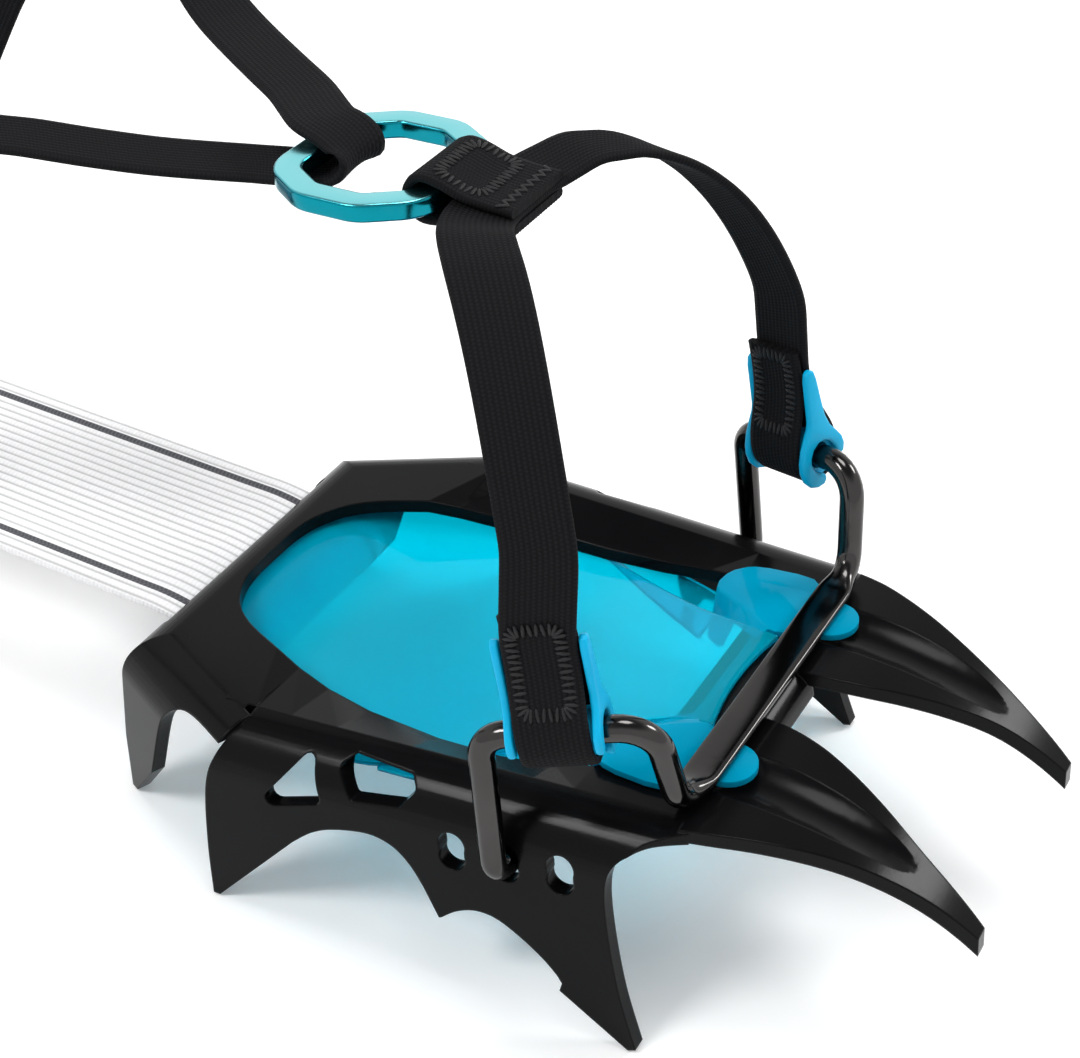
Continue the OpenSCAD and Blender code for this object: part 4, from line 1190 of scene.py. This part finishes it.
class CRAMPON_OT_ring(bpy.types.Operator):
    """Bends the ring and sews the folded tab round it"""

    bl_idname = "crampon.ring"
    bl_label = "Ring and tab"

    def execute(self, context):
        w, t, c = RING_BAR_HALF
        bar = [(sx * (w - c) + x, sy * (t - c) + y)
               for sx, sy, a in ((1, 1, 0), (-1, 1, 90), (-1, -1, 180), (1, -1, 270))
               for x, y in arc(c, range(a, a + 91, 30))]
        ring = swept("ring", *ring_line(), lambda j: bar, closed=True)
        soften(ring, 40)
        done(ring, "ring", "ring", "instep_ring")
        thick = sizes().web_thickness * 1000
        tab = webbing("ring_tab", *tab_line(), 2 * TAB_HALF, thick, TAB_RIBS, TAB_RIB_DEPTH)
        done(tab, "web", "bail", "instep_ring_tab")

        def surface(x, y):
            return Vector((y, x, table_at(TAB_TOP, y) + thick / 2))

        place, first, pitch, count, lean = ZIGZAG
        marks = [(x, y + TAB_BOX_X, a) for x, y, a in box_marks(*TAB_BOX)]
        marks += [(first + pitch * k, place, 90 + (lean if k % 2 else -lean)) for k in range(count)]
        satin_rows("ring_tab_stitching", surface, marks)
        return {"FINISHED"}


# Ankle strap, in millimetres

# Loop on the heel's ear: the ear's lean and middle, and the loop in the ear's own directions
EAR_LEAN = math.radians(45)
EAR_MID = 35.3
EAR_OUT = 2.45
EAR_SIDE = Vector((math.cos(EAR_LEAN), 0, -math.sin(EAR_LEAN)))
EAR_LOOP = ((46, -LAP), (38, -LAP), (34.5, 0.4 - EAR_OUT), (31, -EAR_OUT), (27, -EAR_OUT),
            (25.3, 0.5 - EAR_OUT), (24.4, -1), (24.4, 1), (25.3, EAR_OUT - 0.5), (27, EAR_OUT),
            (31, EAR_OUT), (34.5, EAR_OUT - 0.4), (38, LAP), (46, LAP))
# Runs from the far ear to the ring and from the ring to the buckle
ANKLE_FAR = ((-209, 38.2, 80), (-199.5, 40.6, 98), (-189, 41.8, 115), (-175, 41.6, 128), (-159, 39.6, 133.6),
             (-146, 36.4, 132.4), (-134.6, 31.6, 128.2), (-123.6, 25.8, 124.8), (-110, 18, 123.8),
             (-98, 11.2, 123.4))
ANKLE_NEAR = ((-97, -2.6, 116.6), (-110.5, -10.2, 117.8), (-122, -15.4, 119), (-135.5, -21.6, 120.6),
              (-150, -31, 120), (-165, -39, 113.4), (-181, -41.3, 102.4))
# Turn round the ring: radius, stretch along the crampon, place and slant across it, and its angles
TURN_R = 3.25
TURN_LONG = 2.15
TURN_Y = 1.6
TURN_SLANT = 2.2 / 100
TURN_ANGLES = range(100, -101, -20)
# Buckle: its middle, its directions, the loops of the upper and the lower strap, and the tail beyond them
BUCKLE_C = Vector((-194.6, -40.6, 90.8))
BUCKLE_D = Vector((0.72, -0.02, 0.66)).normalized()
BUCKLE_Y = (Vector((0, -1, 0)) - BUCKLE_D * Vector((0, -1, 0)).dot(BUCKLE_D)).normalized()
BUCKLE_W = BUCKLE_Y.cross(BUCKLE_D)
BUCKLE_LOOP = ((12.5, -2.9), (8, -3.35), (1, -3.3), (-2.6, -2.8), (-4.2, -1.2), (-4.2, 1.2), (-2.6, 2.8),
               (1, 3.3), (8, 3.35), (13, 3.1), (20, 2.5))
BUCKLE_LOW = ((-16, 2.9), (-11, 3.15), (-8.6, 3.15), (-7.79, 2.81), (-7.45, 2), (-7.45, 0), (-7.45, -2),
              (-7.79, -2.81), (-8.6, -3.15), (-11, -3.15), (-16, -2.9))
ANKLE_TAIL = ((-166, -43.6, 115), (-157, -42.3, 119.6))
# Width directions along the far and near runs, against the share of the run
RING_FAR = Vector((0.46, 0.88, 0))
RING_NEAR = Vector((-0.4, 0.9, 0))
FAR_WIDE = ((0, EAR_SIDE), (0.5, Vector((0.5, 0.4, -0.76))), (0.75, RING_FAR), (1, RING_FAR))
NEAR_WIDE = ((0, RING_NEAR), (0.5, RING_NEAR), (0.75, Vector((-0.45, 0.4, 0.8))), (1, BUCKLE_W))
# Where the ankle strap is cut, and each run's two bodies with the ends of their blend
ANKLE_CUTS = (-150.0, -103.0)
ANKLE_RUNS = (("ankle_far_rear", "front", "heel", -156, -190),
              ("ankle_far_front", "bail", "front", -106, -146),
              ("ankle_ring_turn", "ring", "bail", -90, -101),
              ("ankle_near_front", "bail", "front", -106, -146),
              ("ankle_near_rear", "front", "heel", -156, -190))
# Point where the buckle strap's width starts to turn, and the points that this takes
BUCKLE_TURN = (11, 4)
# Rounding of the buckle and the tail's loop, in metres
BUCKLE_EDGE = 0.0006


def ear_at(d, y):
    return Vector((HEEL_X + d * math.sin(EAR_LEAN), EAR_MID + y, HEEL_H + d * math.cos(EAR_LEAN)))


def buckle_at(d, y):
    return BUCKLE_C + BUCKLE_D * d + BUCKLE_Y * y


def ankle_line():
    """The ankle strap's middle line and width directions, from the far ear to the near tail."""
    turn = [RING_BACK + Vector((TURN_LONG * x, TURN_Y + TURN_SLANT * a, z))
            for a, (x, z) in zip(TURN_ANGLES, arc(TURN_R, TURN_ANGLES))]
    buckle = [buckle_at(d, y) for d, y in BUCKLE_LOOP] + [Vector(p) for p in ANKLE_TAIL]
    path, sides = [], []
    for points, wide in (([ear_at(d, y) for d, y in EAR_LOOP], ((0, EAR_SIDE), (1, EAR_SIDE))),
                         (smooth(ANKLE_FAR, 3), FAR_WIDE),
                         (turn, ((0, RING_FAR), (1, RING_NEAR))),
                         (smooth(ANKLE_NEAR, 3), NEAR_WIDE),
                         (buckle, ((0, BUCKLE_W), (1, BUCKLE_W)))):
        path += points
        sides += [table_at(wide, i / (len(points) - 1)) for i in range(len(points))]
    return flowing(path, sides, STRAP_STEP, 5)


class CRAMPON_OT_ankle(bpy.types.Operator):
    """Lays the ankle strap from the heel round the ring and back to its buckle"""

    bl_idname = "crampon.ankle"
    bl_label = "Ankle strap"

    def execute(self, context):
        path, sides = ankle_line()
        last = len(path) - 1
        peak = max(range(len(path)), key=lambda i: path[i].x)
        stops = [0, *(next(i for i in range(peak) if path[i].x > x) for x in ANKLE_CUTS),
                 *(next(i for i in range(peak, last) if path[i].x < x) for x in reversed(ANKLE_CUTS)), last]
        for (name, a, b, start, end), i, j in zip(ANKLE_RUNS, stops, stops[1:]):
            strap = black_web(name, path[i:j + 1], sides[i:j + 1], None, "ankle_strap")
            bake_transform(strap)
        points = [flip(ear_at(d, y)) for d, y in EAR_LOOP] + [buckle_at(d, y) for d, y in BUCKLE_LOW]
        start, steps = BUCKLE_TURN
        wide = [EAR_SIDE.lerp(-BUCKLE_W, clamped((i - start) / steps)) for i in range(len(points))]
        black_web("buckle_strap_sewn", *flowing(points, wide, STRAP_STEP, 4), "heel", "buckle_strap")
        for node, name in (("ankle_buckle", "buckle"), ("tail_keeper", "tail_loop")):
            done(eased_copy(node, name, BUCKLE_EDGE, 3), "plastic", "heel", node)
        return {"FINISHED"}


# Link webbing, in millimetres

# Its ends round the front pin, and the pin and its radius with play, in the leaning front section
LINK_UNDER = ((-110, -8.6), (-106.6, -9.6), (-103, -12.2))
LINK_OVER = ((-104.4, -7), (-108, -5.6), (-111, -4.1))
LINK_PIN = (-99.4, -10.6)
LINK_PIN_R = 2 + 0.3
# Its run to the heel and the height of that
LINK_RUN = (-116, -124, -150, -180, -210, HEEL_X + 20, HEEL_X - 10)
LINK_H = 30.0
# Depth of its ribs and height of its edge bead
LINK_RIB_DEPTH = 0.3
LINK_BEAD = 0.06
# Folded hem: place of the fold, half the gap between its layers, and the places of its end
HEM_X = HEEL_X - 21
HEM_GAP = 0.1
HEM_ENDS = (6, 13)


class CRAMPON_OT_link(bpy.types.Operator):
    """Lays the white link webbing from the front pin to its hem at the heel"""

    bl_idname = "crampon.link"
    bl_label = "Link webbing"

    def execute(self, context):
        s = sizes()
        t = s.link_thickness * 1000
        hem = t / 2 + HEM_GAP
        loop = [(LINK_PIN[0] + x, LINK_PIN[1] + z) for x, z in arc(LINK_PIN_R + t / 2, range(-110, 111, 20))]
        fold = [(HEM_X + x, LINK_H - hem + z) for x, z in arc(hem, [90 + 22.5 * k for k in range(9)])]
        pts = [lifted((x, 0, z)) for x, z in (*LINK_UNDER, *loop, *LINK_OVER)]
        pts += [Vector((x, 0, LINK_H)) for x in LINK_RUN]
        pts += [Vector((x, 0, z)) for x, z in fold]
        pts += [Vector((HEM_X + x, 0, LINK_H - 2 * hem)) for x in HEM_ENDS]
        path = smooth(pts, 3)
        link = webbing("link_webbing", path, [Vector((0, 1, 0))] * len(path), s.link_width * 1000, t,
                       s.link_ribs, LINK_RIB_DEPTH, LINK_BEAD)
        done(link, "link", "front", "link_strap")
        return {"FINISHED"}


# Heel fittings

# Rounding of the heel lever and its claw, in metres
LEVER_EDGE = 0.0007
CLAW_EDGE = 0.0004


class CRAMPON_OT_heel(bpy.types.Operator):
    """Finishes the heel lever, its claw and screw, and the link lock"""

    bl_idname = "crampon.heel"
    bl_label = "Heel fittings"

    def execute(self, context):
        done(eased_copy("heel_lever", "lever", LEVER_EDGE, 3), "plastic", "lever", "heel_lever")
        done(eased_copy("heel_claw", "claw", CLAW_EDGE), "steel", "claw", "heel_claw")
        for node in ("adjuster_screw", "link_front_pin", "cam_bracket", "cam_rivets", "link_cam", "cam_pin"):
            dress(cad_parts[node], "steel")
        dress(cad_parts["thumbwheel"], "keeper")
        return {"FINISHED"}


# Stage, in metres

# The floor's size and height, its glow for rays that show it, and the distances over which that grows
FLOOR_SIZE = 8
FLOOR_Z = -0.0004
FLOOR_GLOW = (0.16, 0.52)
FLOOR_REACH = (0.35, 1.7)
# Rise over which the sky darkens in reflections, its dark colour, and its strength for lit and shown rays
SKY_RISE = (0.55, 0.9)
SKY_DARK = (0.2, 0.2, 0.21)
SKY_LIGHT = (0.55, 1.0)
# Softboxes with their place, size and watts, and what they point at
SOFTBOXES = (("Key softbox", (-0.45, -0.75, 1.15), 0.42, 9.0),
             ("Rim softbox", (0.75, 0.85, 0.75), 0.36, 6.0),
             ("Top softbox", (0.1, 0.15, 1.3), 0.5, 6.0))
LIGHT_TARGET = Vector((0.06, 0, 0.05))
# The camera's focal length and sensor in millimetres, its place, and its right, up and rear directions
LENS, SENSOR = 68.43, 36.0
CAMERA_AT = (0.2254, -0.2376, 0.2711)
CAMERA_AXES = ((0.868, 0.4965, 0), (-0.3031, 0.5298, 0.792), (0.3932, -0.6875, 0.6104))


def seen_rays(tree):
    """The light path's outputs, and a mask of the rays that show a surface."""
    rays = tree.nodes.new("ShaderNodeLightPath").outputs
    through = math_node(tree, "MAXIMUM", rays["Is Glossy Ray"], rays["Is Transmission Ray"])
    return rays, math_node(tree, "MAXIMUM", rays["Is Camera Ray"], through)


def floor_finish():
    """White floor that glows toward the horizon, so that it meets the white sky."""
    mat = bpy.data.materials.new("Studio floor")
    mat.use_nodes = True
    tree = mat.node_tree
    shader = tree.nodes["Principled BSDF"]
    place = tree.nodes.new("ShaderNodeTexCoord").outputs["Object"]
    tint(tree, noise_node(tree, place, 3.0), (0.93, 0.93, 0.93), (0.95, 0.95, 0.95),
         shader.inputs["Base Color"])
    preset(shader, Roughness=0.9, Specular_IOR_Level=0.0, Emission_Color=(1, 1, 1, 1))
    away = tree.nodes.new("ShaderNodeVectorMath")
    away.operation = "LENGTH"
    tree.links.new(place, away.inputs[0])
    glow = span(tree, away.outputs["Value"], *FLOOR_GLOW, over=FLOOR_REACH)
    tree.links.new(times(tree, seen_rays(tree)[1], glow), shader.inputs["Emission Strength"])
    return mat


def studio_world():
    """White sky, darker overhead in reflections."""
    world = bpy.data.worlds.new("Studio")
    world.use_nodes = True
    tree = world.node_tree
    back = tree.nodes["Background"]
    rays, seen = seen_rays(tree)
    rise = split(tree, tree.nodes.new("ShaderNodeTexCoord").outputs["Generated"])[2]
    overhead = span(tree, rise, 0.0, 1.0, over=SKY_RISE, ease="SMOOTHSTEP")
    tint(tree, times(tree, overhead, rays["Is Glossy Ray"]), (1, 1, 1), SKY_DARK, back.inputs["Color"])
    span(tree, seen, *SKY_LIGHT, back.inputs["Strength"])
    return world


class CRAMPON_OT_stage(bpy.types.Operator):
    """Sets the floor, the soft studio light and the camera"""

    bl_idname = "crampon.stage"
    bl_label = "Stage"

    def execute(self, context):
        scene = context.scene
        scene.view_settings.view_transform = "Standard"
        clear()
        bpy.ops.mesh.primitive_plane_add(size=FLOOR_SIZE, location=(0, 0, FLOOR_Z))
        floor = context.object
        floor.name = "studio_floor"
        floor.data.materials.append(floor_finish())
        scene.world = studio_world()
        for name, spot, size, power in SOFTBOXES:
            lamp = bpy.data.lights.new(name, "AREA")
            lamp.shape, lamp.size, lamp.energy = "DISK", size, power
            obj = bpy.data.objects.new(name, lamp)
            scene.collection.objects.link(obj)
            obj.location = spot
            obj.rotation_mode = "QUATERNION"
            obj.rotation_quaternion = (LIGHT_TARGET - obj.location).to_track_quat("-Z", "Y")
        lens = bpy.data.cameras.new("Photo camera")
        lens.lens, lens.sensor_width = LENS, SENSOR
        camera = bpy.data.objects.new("Photo camera", lens)
        scene.collection.objects.link(camera)
        turn = Matrix(CAMERA_AXES).transposed()
        camera.matrix_world = Matrix.Translation(CAMERA_AT) @ turn.to_4x4()
        scene.camera = camera
        return {"FINISHED"}


class CRAMPON_PT_pieces(bpy.types.Panel):
    """Shows the crampon's sizes, colours and modelling steps"""

    bl_idname = "CRAMPON_PT_pieces"
    bl_label = "Crampon"
    bl_space_type = "VIEW_3D"
    bl_region_type = "UI"
    bl_category = "Crampon"

    def draw(self, context):
        for holder in (context.scene.crampon_sizes, context.scene.crampon_colours):
            for key in holder.__annotations__:
                self.layout.prop(holder, key)
        for cls in STEPS:
            self.layout.operator(cls.bl_idname)


STEPS = (CRAMPON_OT_stage, CRAMPON_OT_frames, CRAMPON_OT_skins, CRAMPON_OT_wires, CRAMPON_OT_keepers,
         CRAMPON_OT_instep, CRAMPON_OT_ring, CRAMPON_OT_ankle, CRAMPON_OT_link, CRAMPON_OT_heel)
CLASSES = (CramponSizes, CramponColours, *STEPS, CRAMPON_PT_pieces)


def register():
    for cls in CLASSES:
        bpy.utils.register_class(cls)
    bpy.types.Scene.crampon_sizes = PointerProperty(type=CramponSizes)
    bpy.types.Scene.crampon_colours = PointerProperty(type=CramponColours)


def unregister():
    del bpy.types.Scene.crampon_colours
    del bpy.types.Scene.crampon_sizes
    for cls in reversed(CLASSES):
        bpy.utils.unregister_class(cls)


def main():
    register()
    for cls in STEPS:
        step = cls.bl_idname.split(".")[1]
        getattr(bpy.ops.crampon, step)()


if __name__ == "__main__":
    main()
